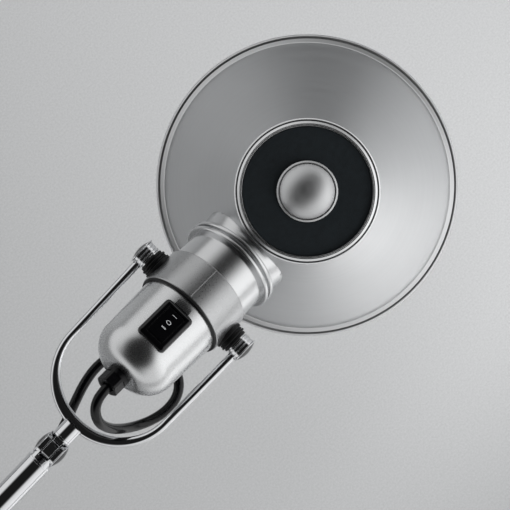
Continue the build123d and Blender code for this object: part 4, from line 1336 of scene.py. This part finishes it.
# ---- neck and saddle
@dataclass
class Neck(SubAssembly):
    """Neck of the shade and the ringed saddle that seats it on the cone."""

    rides_on: ClassVar[str] = "shade_group"
    shade: Shade
    outer: float = 26.4
    wall: float = 1.2
    rear: float = 0.4
    snap_at: float = 2.2
    snap_width: float = 1.6
    snap_groove: float = 0.5
    saddle_at: float = 29.3
    bead_r: float = 30.0
    bead: float = 2.7
    groove: float = 1.4
    groove_r: float = 27.5
    flare_r: float = 31.8
    flare_at: float = 62.0
    flare_power: float = 1.9    # how late the flare opens
    flare_steps: int = 16
    slack: float = 0.02
    trim: float = 0.04

    @property
    def home(self) -> Matrix:
        """The shade's frame, along the neck."""
        return self.shop.shade

    def seat_on_cone(self, piece: Piece, grow: float) -> None:
        """Cut a piece back to the cone.

        Args:
            piece: The piece, along the neck.
            grow: Clearance to the cone.
        """
        tool = self.shade.solid_cone(grow)
        reach = self.home.inverted() @ self.shop.cone
        tool.matrix_world = Matrix.Scale(1 / MM, 4) @ reach @ Matrix.Scale(MM, 4)
        pick_up(tool)
        bpy.ops.object.transform_apply(location=True, rotation=True, scale=True)
        cut(piece, tool, Cut.TAKE_AWAY)
        close_up(piece, 0.002)
        map_round(piece, Spindle.X)
        smooth(piece)

    def build_neck(self) -> None:
        """Turn the neck tube with the groove of its snap ring."""
        inner = self.outer - self.wall
        end = self.shop.shade_reach
        corners = [
            (self.rear, inner, 0.3), (end, inner, 0.0), (end, self.outer, 0.0),
            *ridge(self.snap_at + self.snap_width, self.snap_at, self.outer, self.outer - self.snap_groove,
                   0.05, 0.05),
            (self.rear, self.outer, 0.3),
        ]
        neck = turn("shade_neck_tube", corners, Spindle.X, steps=192)
        self.seat_on_cone(neck, self.trim)
        self.fit(neck, "neck_satin", self.finishes.turned, "neck")

    def build_saddle(self) -> None:
        """Turn the two beads and the flare, and fit their end to the cone."""
        inner = self.outer + self.slack
        second = self.saddle_at + self.bead + self.groove
        after = second + self.bead
        length = self.flare_at - after
        corners = [(self.saddle_at, inner, 0.0)]
        for start in (self.saddle_at, second):
            corners += [
                (start, self.groove_r, 0.12), (start, self.bead_r, 0.95),
                (start + self.bead, self.bead_r, 0.95), (start + self.bead, self.groove_r, 0.25),
            ]
        for part in range(1, self.flare_steps + 1):
            share = part / self.flare_steps
            out = self.groove_r + (self.flare_r - self.groove_r) * share ** self.flare_power
            corners.append((after + length * share, out, 0.0))
        corners.append((self.flare_at, inner, 0.0))
        saddle = turn("neck_ringed_saddle", corners, Spindle.X, steps=192)
        self.seat_on_cone(saddle, self.trim)
        self.fit(saddle, "neck_satin", self.finishes.turned, "neck_saddle")

    def build(self) -> None:
        """Build the neck and its saddle."""
        self.build_neck()
        self.build_saddle()


# ---- collar
@dataclass
class Collar(SubAssembly):
    """Cast collar with its bosses, the seal behind it and the two trunnions."""

    outer: float = 28.05
    rear: float = -12.0
    front: float = 11.8
    edge: float = 0.6
    neck_bore: float = 26.45
    cup_bore: float = 26.02
    step: float = -1.2
    snap_run: Run = (2.05, 3.95)    # groove that gives the snap ring room
    snap_r: float = 27.25
    boss_r: float = 7.0
    boss_end: float = 30.4
    seam_width: float = 0.5
    seam_height: float = 0.16
    seam_aside: float = 1.5
    screw_r: float = 1.52
    screw_angle: float = 40.0
    screw_at: float = -7.0
    seal_r: float = 27.6
    seal_t: float = 1.3
    ribs: tuple[tuple[float, float, float], ...] = (   # start, end and radius of each
        (26.7, 29.3, 8.9), (29.45, 30.75, 8.2), (30.9, 32.2, 8.6), (32.35, 34.05, 7.7))
    rib_foot: float = 1.0
    washer_bore: float = 3.02
    shank_r: float = 3.0
    shank_in: float = 2.8
    drum_start: float = 34.12
    drum_length: float = 6.7
    face: float = 0.06
    disc_r: float = 8.3
    disc_h: float = 2.6

    def build_casting(self) -> None:
        """Turn the ring, join its bosses, bore it and mill the parting lines."""
        corners = [
            (self.rear, self.cup_bore, 0.1), (self.step, self.cup_bore, 0.1),
            (self.step, self.neck_bore, 0.1),
            *ridge(*self.snap_run, self.neck_bore, self.snap_r, 0.0, 0.0),
            (self.front, self.neck_bore, 0.15), (self.front, self.outer, self.edge),
            (self.rear, self.outer, self.edge),
        ]
        ring = turn("cast_collar", corners, Spindle.X, steps=288)
        for side in (-1, 1):
            boss = bench_cylinder("boss", self.boss_r, Vector((0, side * (self.outer - 1.0), 0)),
                                  Vector((0, side * self.boss_end, 0)), edge=0.5)
            cut(ring, boss, Cut.JOIN)
        half = self.seam_width / 2
        for side in (-1, 1):
            low = Vector((self.rear + self.edge, self.seam_aside - half, self.cup_bore + 1.0))
            high = Vector((self.front - self.edge, self.seam_aside + half, self.outer + self.seam_height))
            seam = bench_box("seam", low, high)
            soften(seam, 0.14, 2)
            roll(seam, 0 if side > 0 else 180)
            cut(ring, seam, Cut.JOIN)
            spoke = rotation(side * self.screw_angle, "X") @ Vector((0, 0, -1))
            middle = Vector((self.screw_at, 0, 0))
            hole = bench_cylinder("screw_hole", self.screw_r, middle + spoke * (self.cup_bore - 2),
                                  middle + spoke * (self.outer + 1), sides=32)
            cut(ring, hole, Cut.TAKE_AWAY)
        smooth(ring, 35)
        self.fit(ring, "cast_collar", self.finishes.cast, "collar")

    def build_seal(self) -> None:
        """Turn the round-edged rubber seal between the collar and the cup."""
        corners = [
            (self.rear - self.seal_t, self.cup_bore, 0.1), (self.rear, self.cup_bore, 0.1),
            (self.rear, self.seal_r, 0.3), (self.rear - self.seal_t, self.seal_r, 0.6),
        ]
        seal = turn("collar_rubber_seal", corners, Spindle.X, steps=192)
        self.fit(seal, "black_plastic", self.finishes.rubber, "collar_seal")

    def build_trunnion(self, turned: float, name: str) -> None:
        """Build the ribbed washers and the domed head at one side of the collar.

        Args:
            turned: Degrees from the left side.
            name: Word for the side.
        """
        corners = [(self.ribs[0][0], self.washer_bore, 0.0)]
        for low, high, radius in self.ribs:
            corners += ridge(low, high, radius - self.rib_foot, radius, 0.1, 0.4)
        corners.append((self.ribs[-1][1], self.washer_bore, 0.0))
        washers = turn(f"trunnion_ribs_{name}", corners, Spindle.Y)
        self.fit(washers, "friction_washer", self.finishes.rubber, "trunnion_washers", turned=turned)
        DomedHead(
            self.shop, f"trunnion_{name}", "head", self.home @ rotation(turned, "Z"), ["trunnion_screws"],
            seat=self.drum_start + self.drum_length + self.face, radius=self.disc_r, height=self.disc_h,
            shank_r=self.shank_r, shank_end=self.boss_end - self.shank_in,
        ).build()

    def build(self) -> None:
        """Build the collar and what is on it."""
        self.build_casting()
        self.build_seal()
        self.build_trunnion(0, "left")
        self.build_trunnion(180, "right")


@dataclass
class DomedHead:
    """Domed screw head on the +Y side: a bright turned rim and shank with a dark cap let into it."""

    shop: Workshop
    name: str
    body: str
    place: Matrix             # frame whose Y axis is the screw's axis
    nodes: Sequence[str]      # construction nodes that the rim replaces
    seat: float               # where its underside lies
    radius: float
    height: float
    shank_r: float
    shank_end: float
    rim: float = 0.09         # share of the radius
    lip: float = 0.26         # shares of the height: the rim's edge,
    sunk: float = 0.12        # the floor under the cap
    rise: float = 0.74        # and the cap's dome
    gap: float = 0.12

    def build(self) -> None:
        """Build the rim with its shank, and the cap."""
        rim = self.radius * self.rim
        lip = self.height * self.lip
        floor = self.seat + self.height * self.sunk
        shank = [(self.shank_end, 0.0, 0.0), (self.shank_end, self.shank_r, 0.15),
                 (self.seat, self.shank_r, 0.0)]
        corners = [
            *(shank if self.shank_end < self.seat else [(self.seat, 0.0, 0.0)]),
            (self.seat, self.radius - 0.1, 0.1), (self.seat + lip * 0.35, self.radius, 0.2),
            (self.seat + lip, self.radius, 0.28), (self.seat + lip + 0.12, self.radius - rim, 0.2),
            (floor, self.radius - rim - 0.1, 0.05), (floor, 0.0, 0.0),
        ]
        piece = turn(f"{self.name}_rim", corners, Spindle.Y, closed=False, steps=96)
        set_in_place(piece, self.place)
        self.shop.deliver(piece, self.body, "pivot_disc", self.shop.finishes.chrome, self.nodes)
        dome_r = self.radius - rim - self.gap
        corners = [(floor, 0.0, 0.0), (floor, dome_r, 0.05),
                   *dome(self.seat + self.height, dome_r, self.height * self.rise, 14)]
        cap = turn(f"{self.name}_cap", corners, Spindle.Y, closed=False, steps=96)
        set_in_place(cap, self.place)
        self.shop.deliver(cap, self.body, "pivot_disc", self.shop.finishes.gloss_black)


# ---- rear cup
@dataclass
class RearCup(SubAssembly):
    """Pressed cup behind the collar, with the gland that lets the lead out."""

    outer: float = 26.0
    wall: float = 1.6
    front: float = -1.2
    straight: float = -15.0
    taper: float = 1.8
    end: float = -64.0
    rounding: float = 16.3
    switch_at: float = -33.3
    switch_size: Run = (27.44, 19.84)
    switch_corner: float = 2.6
    thread_r: float = 4.72
    gland_r: float = 7.2
    gland_length: float = 10.4
    gland_flat: float = 6.6        # from the axis to a wrench flat
    flats: int = 6
    flat_share: float = 0.68       # of the gland's length
    thread_in: float = 5.0
    slack: float = 0.02
    bore_r: float = 3.05

    def outline(self, inset: float) -> list[Corner]:
        """Side and round end of the cup, from its open end to the axis.

        Args:
            inset: Depth in its wall.

        Returns:
            The corners.
        """
        lean = math.radians(self.taper)
        run = (self.straight - self.end - self.rounding * (1 - math.sin(lean))) / math.cos(lean)
        centre_out = self.outer - run * math.sin(lean) - self.rounding * math.cos(lean)
        return [
            (self.front, self.outer - inset, 0.0), (self.straight, self.outer - inset, 6.0),
            *arc((self.end + self.rounding, centre_out), self.rounding - inset, 90 + self.taper, 180, 24),
        ]

    def build_cup(self) -> None:
        """Turn the cup, cut its window for the switch and its hole for the gland."""
        inside = list(reversed(self.outline(self.wall)))
        corners = [
            *self.outline(0.0),
            (self.end, self.thread_r, 0.0), (self.end + self.wall, self.thread_r, 0.0),
            *inside,
        ]
        cup = turn("pressed_cup", corners, Spindle.X, steps=288)
        window = round_block("window", self.switch_at, self.switch_size, self.outer / 2, self.outer + 2,
                             self.switch_corner)
        cut(cup, window, Cut.TAKE_AWAY)
        smooth(cup, 40)
        self.fit(cup, "head_satin", self.finishes.pressed, "rear_cup")

    def build_gland(self) -> None:
        """Round gland with a flat end, and wrench flats milled along most of its length."""
        tip = self.end - self.gland_length
        corners = [
            (self.end + self.thread_in, self.bore_r, 0.0),
            (self.end + self.thread_in, self.thread_r - self.slack, 0.4),
            (self.end, self.thread_r - self.slack, 0.0), (self.end, self.gland_r, 0.2),
            (tip, self.gland_r, 0.5), (tip, self.bore_r + 1.2, 0.4), (tip + 1.4, self.bore_r, 0.2),
        ]
        gland = turn("cable_gland", corners, Spindle.X, steps=120)
        for number in range(self.flats):
            plate = bench_box("flat", Vector((tip - 1, -6, self.gland_flat)),
                              Vector((tip + self.flat_share * self.gland_length, 6, 9)))
            roll(plate, 360 / self.flats * number)
            cut(gland, plate, Cut.TAKE_AWAY)
        soften(gland, 0.18, 2, 40)
        smooth(gland, 30)
        self.fit(gland, "black_plastic", self.finishes.nylon, "lead_gland")

    def build(self) -> None:
        """Build the cup and its gland."""
        self.build_cup()
        self.build_gland()


def round_block(name: str, middle: float, size: Run, low: float, high: float, corner: float,
                steps: int = 8) -> Piece:
    """Box with round vertical edges.

    Args:
        name: Name of the piece.
        middle: Its middle along X.
        size: Its length and width.
        low: Height of its underside.
        high: Height of its top.
        corner: Radius of its corners.
        steps: Steps in each corner.

    Returns:
        The box.
    """
    length, width = size
    piece = bench_box(name, Vector((middle - length / 2, -width / 2, low)),
                      Vector((middle + length / 2, width / 2, high)))
    with editing(piece, "DESELECT"):
        pass    # the edges to round are picked outside of edit mode
    mesh = piece.data
    for edge in mesh.edges:
        first, last = (mesh.vertices[index].co for index in edge.vertices)
        edge.select = abs((last - first).normalized().z) > 0.9
    bpy.ops.object.mode_set(mode="EDIT")
    bpy.ops.mesh.select_mode(type="EDGE")
    bpy.ops.mesh.bevel(offset=corner, segments=steps, affect="EDGES")
    bpy.ops.object.mode_set(mode="OBJECT")
    return piece


# ---- switch
@dataclass
class RockerSwitch(SubAssembly):
    """Gloss black rocker switch let into the top of the cup."""

    at: float = -33.3
    size: Run = (27.4, 19.8)
    top: float = 26.9
    depth: float = 8.0
    corner: float = 2.6
    edge: float = 0.7
    rocker_size: Run = (19.0, 11.4)
    rocker_depth: float = 5.6
    rocker_sunk: float = 0.1
    gap: float = 0.8
    side_gap: float = 0.3
    pin_r: float = 0.9
    pin_below: float = 4.1
    pin_out: float = 0.9
    pin_slack: float = 0.05
    dish: float = 0.16
    mark_height: float = 3.2
    mark_lift: float = 0.05
    mark_width: float = 0.66       # share of the letters' own width
    marks_aside: float = -0.4
    marks: tuple[tuple[str, float], ...] = (("I", 7.0), ("O", 1.9), ("II", -2.3))

    @property
    def home(self) -> Matrix:
        """Frame of the switch: on the cup's axis, under its middle."""
        return self.shop.head @ Matrix.Translation((self.at * MM, 0, 0))

    @property
    def high(self) -> float:
        """Height of the rocker's ends."""
        return self.top - self.rocker_sunk

    @property
    def hollow_r(self) -> float:
        """Radius of the rocker's dish."""
        return ball_radius(self.rocker_size[0] / 2, self.dish)

    def cross_bar(self, name: str, radius: float, reach: float, height: float, sides: int = 32) -> Piece:
        """Bar that reaches as far to both sides of the switch, at a height."""
        ends = (Vector((0, side * reach, height)) for side in (-1, 1))
        return bench_cylinder(name, radius, *ends, sides=sides)

    def build_frame(self) -> None:
        """Moulded frame with round corners and a soft top edge."""
        base = self.top - self.depth
        frame = round_block("switch_gloss_frame", 0.0, self.size, base, self.top, self.corner)
        soften(frame, self.edge, 4, 50)
        length, width = self.rocker_size
        hole = (length + 2 * self.gap, width + 2 * self.side_gap)
        cut(frame, round_block("mouth", 0.0, hole, base - 1, self.top + 1, 0.6, 4), Cut.TAKE_AWAY)
        reach = width / 2 + self.side_gap + self.pin_out + self.pin_slack
        pin_hole = self.cross_bar("pin_hole", self.pin_r + self.pin_slack, reach, self.high - self.pin_below)
        cut(frame, pin_hole, Cut.TAKE_AWAY)
        soften(frame, 0.15, 2, 60)
        smooth(frame, 35)
        self.fit(frame, "switch_gloss", self.finishes.gloss_black, "switch_frame")

    def build_rocker(self) -> None:
        """Dished rocker with its pins."""
        half = self.rocker_size[1] / 2
        rocker = round_block("switch_dished_rocker", 0.0, self.rocker_size, self.high - self.rocker_depth,
                             self.high, 0.5, 4)
        hollow = self.cross_bar("hollow", self.hollow_r, half + 2, self.high - self.dish + self.hollow_r, 512)
        cut(rocker, hollow, Cut.TAKE_AWAY)
        soften(rocker, 0.25, 3, 40)
        pin = self.cross_bar("pin", self.pin_r, half + self.side_gap + self.pin_out, self.high - self.pin_below)
        cut(rocker, pin, Cut.JOIN)
        smooth(rocker, 35)
        self.fit(rocker, "switch_gloss", self.finishes.gloss_black, "switch_rocker", body="rocker")

    def build_marks(self) -> None:
        """Printed off, first and second position marks, set on the dish."""
        for word, along in self.marks:
            floor = self.high - self.dish + self.hollow_r - math.sqrt(self.hollow_r ** 2 - along ** 2)
            lay_down_tools()
            bpy.ops.object.text_add(location=(along, self.marks_aside, floor))
            mark = just_made(f"switch_mark_{word}")
            letters = mark.data
            letters.body = word
            letters.size = self.mark_height / CAPITAL
            letters.align_x = letters.align_y = "CENTER"
            letters.space_character = 0.8
            letters.extrude = self.mark_lift
            mark.scale.x = self.mark_width
            bpy.ops.object.convert(target="MESH")
            mark = bpy.context.object
            bpy.ops.object.transform_apply(location=True, scale=True)
            close_up(mark)
            self.fit(mark, "switch_gloss", self.finishes.print_white, body="rocker")

    def build(self) -> None:
        """Build the whole switch."""
        self.build_frame()
        self.build_rocker()
        self.build_marks()


# ---- fork
@dataclass
class Fork(SubAssembly):
    """Bent wire fork with its stem and the two drums that hold its ends."""

    rides_on: ClassVar[str] = "fork"
    wire_r: float = 2.5
    half: float = 38.0
    bend_r: float = 37.2
    length: float = 99.6
    wire_end: float = 4.5
    drum_r: float = 7.5
    drum_start: float = 34.12
    drum_length: float = 6.7
    drum_bore: float = 3.05
    drum_step: float = 0.8
    drum_grooves: int = 2
    first_groove: float = 1.9
    groove_pitch: float = 2.3
    groove_width: float = 0.6
    groove_depth: float = 0.55
    throat: float = 2.3          # how much the bend thickens inwards, where the stem meets it

    @property
    def home(self) -> Matrix:
        """The fork's frame."""
        return self.shop.fork

    def build_wire(self) -> None:
        """Draw the wire: a straight run, the bend and the other straight run."""
        bend = Vector((-(self.length - self.bend_r), 0, 0))
        start = Vector((-self.wire_end, self.half, 0))
        reach = start - bend
        angle = math.atan2(reach.y, reach.x) + math.acos(self.bend_r / reach.length)
        touch = bend + self.bend_r * Vector((math.cos(angle), math.sin(angle), 0))
        run = touch - start
        lay_down_tools()
        bpy.ops.mesh.primitive_circle_add(vertices=48, radius=self.wire_r, fill_type="NGON", location=start,
                                          rotation=run.to_track_quat("Z", "Y").to_euler())
        wire = just_made("fork_bent_wire")
        bpy.ops.object.transform_apply(location=True, rotation=True)
        sweep = 2 * (math.pi - angle)
        with editing(wire):
            bpy.ops.mesh.extrude_region_move(TRANSFORM_OT_translate={"value": run})
            bpy.ops.mesh.spin(steps=96, angle=-sweep, center=bend, axis=(0, 0, 1))
            bpy.ops.mesh.extrude_region_move(TRANSFORM_OT_translate={"value": Vector((-run.x, run.y, 0))})
        close_up(wire, 0.001)
        with editing(wire):
            bpy.ops.mesh.select_mode(type="FACE")
            bpy.ops.mesh.select_all(action="DESELECT")
            bpy.ops.mesh.select_interior_faces()
            bpy.ops.mesh.delete(type="ONLY_FACE")
            bpy.ops.mesh.select_mode(type="VERT")
        close_up(wire, 0.001)
        self.thicken_bend(wire, bend)
        smooth(wire, 40)
        self.fit(wire, "fork_chrome", self.finishes.chrome, "fork_wire")

    def thicken_bend(self, wire: Piece, bend: Vector) -> None:
        """Draw the inner side of the bend inwards, most at its middle, as the forging is.

        Args:
            wire: The wire on the bench.
            bend: Middle of the bend.
        """
        for vertex in wire.data.vertices:
            spoke = (vertex.co - bend) * Vector((1.0, 1.0, 0.0))
            if spoke.x < 0:
                share = (self.bend_r + self.wire_r - spoke.length) / (2 * self.wire_r)
                vertex.co -= spoke.normalized() * self.throat * max(share, 0.0) * (spoke.x / spoke.length) ** 2

    def build_drums(self) -> None:
        """Turn the two polished drums."""
        start = self.drum_start
        end = start + self.drum_length
        step = start + self.drum_step
        foot = self.drum_r - 0.7
        corners = [(start, self.drum_bore, 0.1), (start, foot, 0.1), (step, foot, 0.1),
                   (step, self.drum_r, 0.3)]
        for number in range(self.drum_grooves):
            groove = start + self.first_groove + number * self.groove_pitch
            corners += ridge(groove, groove + self.groove_width, self.drum_r, self.drum_r - self.groove_depth,
                             0.1, 0.1)
        corners += [(end, self.drum_r, 0.3), (end, self.drum_bore, 0.1)]
        for turned, name in ((0, "left"), (180, "right")):
            drum = turn(f"fork_drum_{name}", corners, Spindle.Y)
            self.fit(drum, "fork_chrome", self.finishes.chrome, "fork_drums", turned=turned)

    def build(self) -> None:
        """Build the fork."""
        self.build_wire()
        self.build_drums()
        self.shop.copy("stem_sleeve", "fork_stem", 0.35, "fork", "fork_chrome", self.finishes.chrome)


# ---- arms
@dataclass
class Arm(SubAssembly):
    """Tubular arm with a tongue at its lower end and forked ears at its upper end."""

    name: str
    frame: Matrix
    length: float
    tail_reach: float                         # how far the tongue's fitting comes up the arm
    head_reach: float                         # and the ears' fitting down it
    lead_hole: tuple[Vector, Vector, float]   # ends and radius of the hole for its lead
    tube_r: float = 7.7
    wall: float = 1.2
    tail_face: float = 2.4
    fork_face: float = 0.5
    ferrule: float = 1.1

    @property
    def home(self) -> Matrix:
        """The arm's frame."""
        return self.frame

    def build_tube(self) -> None:
        """Turn the plated tube with soft ends and bore the hole for its lead."""
        start = self.tail_reach + self.tail_face
        end = self.length - self.head_reach - self.fork_face - self.ferrule
        inner = self.tube_r - self.wall
        corners = [(start, inner, 0.1), (end, inner, 0.1),
                   (end, self.tube_r, 0.25), (start, self.tube_r, 0.25)]
        tube = turn(f"{self.name}_plated_tube", corners, Spindle.X, steps=120)
        first, last, radius = self.lead_hole
        cut(tube, bench_cylinder("lead_hole", radius, first, last, sides=48), Cut.TAKE_AWAY)
        smooth(tube, 40)
        self.fit(tube, "arm_tube", self.finishes.chrome, f"{self.name}_tube", body=self.name)

    def build_fittings(self) -> None:
        """Soften the edges of the tongue's fitting and of the forked ears."""
        for part, word in (("tail", "tongue"), ("fork", "ears")):
            self.shop.copy(f"{self.name}_{part}", f"{self.name}_{word}", 0.45, self.name, "arm_fitting",
                           self.finishes.chrome)

    def build(self) -> None:
        """Build the arm."""
        self.build_tube()
        self.build_fittings()


@dataclass
class HingeHeads:
    """Domed heads of a hinge bolt and of its nut."""

    shop: Workshop
    name: str
    body: str
    frame: Matrix
    half_fork: float
    disc_r: float
    disc_h: float
    bolt_r: float

    def build(self) -> None:
        """Build both heads."""
        for turned, word in ((180, "bolt"), (0, "nut")):
            DomedHead(
                self.shop, f"{self.name}_{word}", self.body, self.frame @ rotation(turned, "Z"),
                [f"{self.name}_{word}"], seat=self.half_fork, radius=self.disc_r, height=self.disc_h,
                shank_r=self.bolt_r,
                shank_end=-self.half_fork - self.disc_h / 2 if word == "bolt" else self.half_fork,
            ).build()


# ---- base
@dataclass
class Base(SubAssembly):
    """Round base: its spun cover, its rubber pad and the bush that the post turns in."""

    rides_on: ClassVar[str] = "base"
    plate_r: float = 105.0
    pad_t: float = 2.0
    plate_t: float = 15.0
    edge: float = 4.0
    cover_gap: float = 0.25
    cover_wall: float = 1.2
    cover_lift: float = 1.4
    pad_r: float = 98.0
    bush_r: float = 9.02
    flange_r: float = 22.0
    flange_t: float = 5.0
    flange_edge: float = 2.0
    bush_low: float = 6.3
    spigot_bore: float = 6.05
    slack: float = 0.02
    pad_rings: tuple[float, ...] = (30.0, 55.0, 80.0)
    ring_depth: float = 0.5

    @property
    def home(self) -> Matrix:
        """The frame of the whole lamp."""
        return Matrix.Identity(4)

    def build_cover(self) -> None:
        """Spin the bright cover over the weight."""
        inner = self.plate_r + self.cover_gap
        outer = inner + self.cover_wall
        low = self.pad_t + self.cover_lift
        top = self.pad_t + self.plate_t
        corners = [
            (low, inner, 0.3), (low, outer, 0.3), (top + self.cover_wall, outer, self.edge + self.cover_wall),
            (top + self.cover_wall, self.bush_r, 0.2), (top, self.bush_r, 0.2), (top, inner, self.edge),
        ]
        cover = turn("base_spun_cover", corners, Spindle.Z, steps=288)
        self.fit(cover, "base_shell", self.finishes.spun, "base_cover")

    def build_pad(self) -> None:
        """Mould the pad with a raised rim and rings on its underside."""
        corners = [(0.0, 0.0, 0.0)]
        for radius in self.pad_rings:
            for side in (-1, 1):
                ends = [(0.0, radius + side, 0.2), (self.ring_depth, radius + side * 0.5, 0.2)]
                corners += ends if side < 0 else ends[::-1]
        corners += [(0.0, self.pad_r, 0.4), (self.pad_t, self.pad_r, 0.4), (self.pad_t, 0.0, 0.0)]
        pad = turn("base_rubber_pad", corners, Spindle.Z, closed=False, steps=144)
        self.fit(pad, "base_pad", self.finishes.rubber, "base_pad")

    def build_bush(self) -> None:
        """Turn the flanged bush."""
        seat = self.pad_t + self.plate_t + self.cover_wall
        corners = [
            (self.bush_low, self.spigot_bore, 0.2), (self.bush_low, self.bush_r - self.slack, 0.3),
            (seat, self.bush_r - self.slack, 0.0), (seat, self.flange_r, 0.2),
            (seat + self.flange_t, self.flange_r, self.flange_edge),
            (seat + self.flange_t, self.spigot_bore, 0.3),
        ]
        bush = turn("base_flanged_bush", corners, Spindle.Z)
        self.fit(bush, "bush_metal", self.finishes.turned, "base_bush")

    def build(self) -> None:
        """Build the base, and the post that stands in it."""
        self.build_cover()
        self.build_pad()
        self.build_bush()
        self.shop.copy("post", "turning_post", 0.5, "post_body", "post_metal", self.finishes.polished_cast)


# ---- lamp
@dataclass
class Lamp(SubAssembly):
    """Round frosted lamp in its steatite holder."""

    glass_r: float = 22.5
    centre: float = 60.0
    wall: float = 0.9
    neck_r: float = 8.5
    neck_at: float = 24.0
    neck: float = 5.0
    neck_steps: int = 12
    spring_angle: float = 45.0     # degrees at which the ball meets the neck
    cap_r: float = 7.0
    cap_at: float = 0.0
    threads: int = 7
    thread_pitch: float = 2.2
    thread_depth: float = 0.75
    holder_r: float = 13.0
    holder_at: float = -8.5
    holder_end: float = 18.0
    bore_gap: float = 0.3
    bore_floor: float = -2.0

    def glass_outline(self, inset: float) -> list[Corner]:
        """Outline of the glass from its neck to its tip.

        Args:
            inset: Depth in its wall.

        Returns:
            The corners.
        """
        radius = self.glass_r - inset
        neck_r = self.neck_r - inset
        angle = math.radians(self.spring_angle)
        joint = Vector((self.centre - radius * math.cos(angle), radius * math.sin(angle)))
        start = Vector((self.neck_at + self.neck, neck_r))
        slope_in = Vector((1.0, 0.0)) * (joint - start).length * 0.55
        slope_out = Vector((math.sin(angle), math.cos(angle))) * (joint - start).length * 0.35
        corners: list[Corner] = [(self.neck_at + inset, neck_r, 0.0)]
        for part in range(self.neck_steps + 1):
            t = part / self.neck_steps
            point = ((1 - t) ** 3 * start + 3 * (1 - t) ** 2 * t * (start + slope_in)
                     + 3 * (1 - t) * t ** 2 * (joint - slope_out) + t ** 3 * joint)
            corners.append((point.x, point.y, 0.0))
        corners += arc((self.centre, 0.0), radius, 180 - self.spring_angle, 0, 36)[1:]
        return corners

    def build_glass(self) -> None:
        """Blow the glass with its wall."""
        corners = [
            *self.glass_outline(0.0),
            *reversed(self.glass_outline(self.wall)),
            (self.neck_at + self.wall, 0.0, 0.0), (self.neck_at, 0.0, 0.0),
        ]
        glass = turn("frosted_lamp_glass", corners, Spindle.X, steps=96)
        self.fit(glass, "bulb_opal", self.finishes.glass, "bulb_glass")

    def build_cap(self) -> None:
        """Roll the threaded cap of the lamp."""
        corners = [(self.cap_at, 0.0, 0.0), (self.cap_at, 2.6, 0.2), (self.cap_at + 1.2, 3.4, 0.3),
                   (self.cap_at + 2.2, self.cap_r - 1.2, 0.6)]
        for number in range(self.threads):
            at = self.cap_at + 4.0 + number * self.thread_pitch
            corners += [(at, self.cap_r - self.thread_depth, 0.5),
                        (at + self.thread_pitch / 2, self.cap_r, 0.5)]
        corners += [(self.cap_at + 20.2, self.cap_r - 0.6, 0.4), (self.neck_at, self.cap_r - 0.1, 0.2),
                    (self.neck_at, 0.0, 0.0)]
        cap = turn("lamp_screw_cap", corners, Spindle.X, closed=False, steps=72)
        self.fit(cap, "cap_metal", self.finishes.steel, "bulb_cap")

    def build_holder(self) -> None:
        """Press the ribbed steatite holder."""
        bore = self.cap_r + self.bore_gap
        corners: list[Corner] = [
            (self.holder_at, 0.0, 0.0), (self.holder_at, self.holder_r, 0.8),
            (self.holder_at + 7.0, self.holder_r, 0.6), (self.holder_at + 8.0, self.holder_r - 1.2, 0.5),
            (self.holder_end - 5.0, self.holder_r - 1.2, 0.5), (self.holder_end - 4.2, self.holder_r, 0.6),
            (self.holder_end, self.holder_r, 1.0), (self.holder_end, bore, 0.5), (self.bore_floor, bore, 0.5),
            (self.bore_floor, 0.0, 0.0),
        ]
        holder = turn("steatite_lamp_holder", corners, Spindle.X, closed=False, steps=96)
        self.fit(holder, "holder_white", self.finishes.steatite, "lamp_holder")

    def build(self) -> None:
        """Build the lamp and its holder."""
        self.build_glass()
        self.build_cap()
        self.build_holder()


def dress_hidden(shop: Workshop) -> None:
    """Give every construction node that stays its finish.

    Args:
        shop: The workshop.
    """
    finishes = shop.finishes
    shop.dress(shop.frame["nodes"], finishes.steel)
    shop.dress(["base_plate"], finishes.iron)
    shop.dress(["switch_body", "gland_nut", "lead_inlet", "lead_entry", "shoulder_washers", "elbow_washers",
                "wrist_washers"], finishes.nylon)
    shop.dress(["switch_blades"], finishes.brass)
    shop.dress(["stem_grub_screw"], finishes.chrome)


def build_arms(shop: Workshop, route: Sequence[Spot]) -> None:
    """Build both arms and the heads of the three hinges.

    Args:
        shop: The workshop.
        route: Route of the head's lead, which ends inside the upper arm.
    """
    inlet = (Vector((INLET_AT, 0, INLET_LOW)), Vector((INLET_AT, 0, 0)), INLET_BORE)
    to_arm = shop.upper_arm.inverted() @ shop.fork
    first, last = (to_arm @ (Vector(point) * MM) / MM for point in route[-2:])
    Arm(shop, "lower_arm", shop.lower_arm, shop.lower_length, tail_reach=22.0, head_reach=26.0,
        lead_hole=inlet).build()
    Arm(shop, "upper_arm", shop.upper_arm, shop.upper_length, tail_reach=26.0, head_reach=9.0,
        lead_hole=(first, last, ENTRY_BORE)).build()
    shoulder = Matrix.Translation(shop.pivot("shoulder_tilt"))
    HingeHeads(shop, "shoulder", "post_body", shoulder, half_fork=12.0, disc_r=12.4, disc_h=3.6,
               bolt_r=4.0).build()
    HingeHeads(shop, "elbow", "lower_arm", shop.upper_arm, half_fork=10.0, disc_r=11.4, disc_h=3.4,
               bolt_r=3.5).build()
    HingeHeads(shop, "wrist", "upper_arm", shop.wrist, half_fork=6.2, disc_r=8.3, disc_h=2.6,
               bolt_r=2.5).build()


def main() -> None:
    """Build the lamp and its studio, and report each piece."""
    logging.basicConfig(level=logging.INFO, format="%(message)s")
    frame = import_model()
    shop = Workshop(frame, Finishes())
    Studio(shop).build()
    lead = HeadLead(shop)
    lead.build()
    shade = Shade(shop)
    shade.build()
    Neck(shop, shade).build()
    for kind in (Collar, RearCup, RockerSwitch, Fork, Lamp):
        kind(shop).build()
    shop.copy("wrist_knuckle", "wrist_tongue", 0.35, "knuckle", "arm_fitting", shop.finishes.chrome)
    build_arms(shop, lead.route)
    Base(shop).build()
    dress_hidden(shop)


if __name__ == "__main__":
    main()
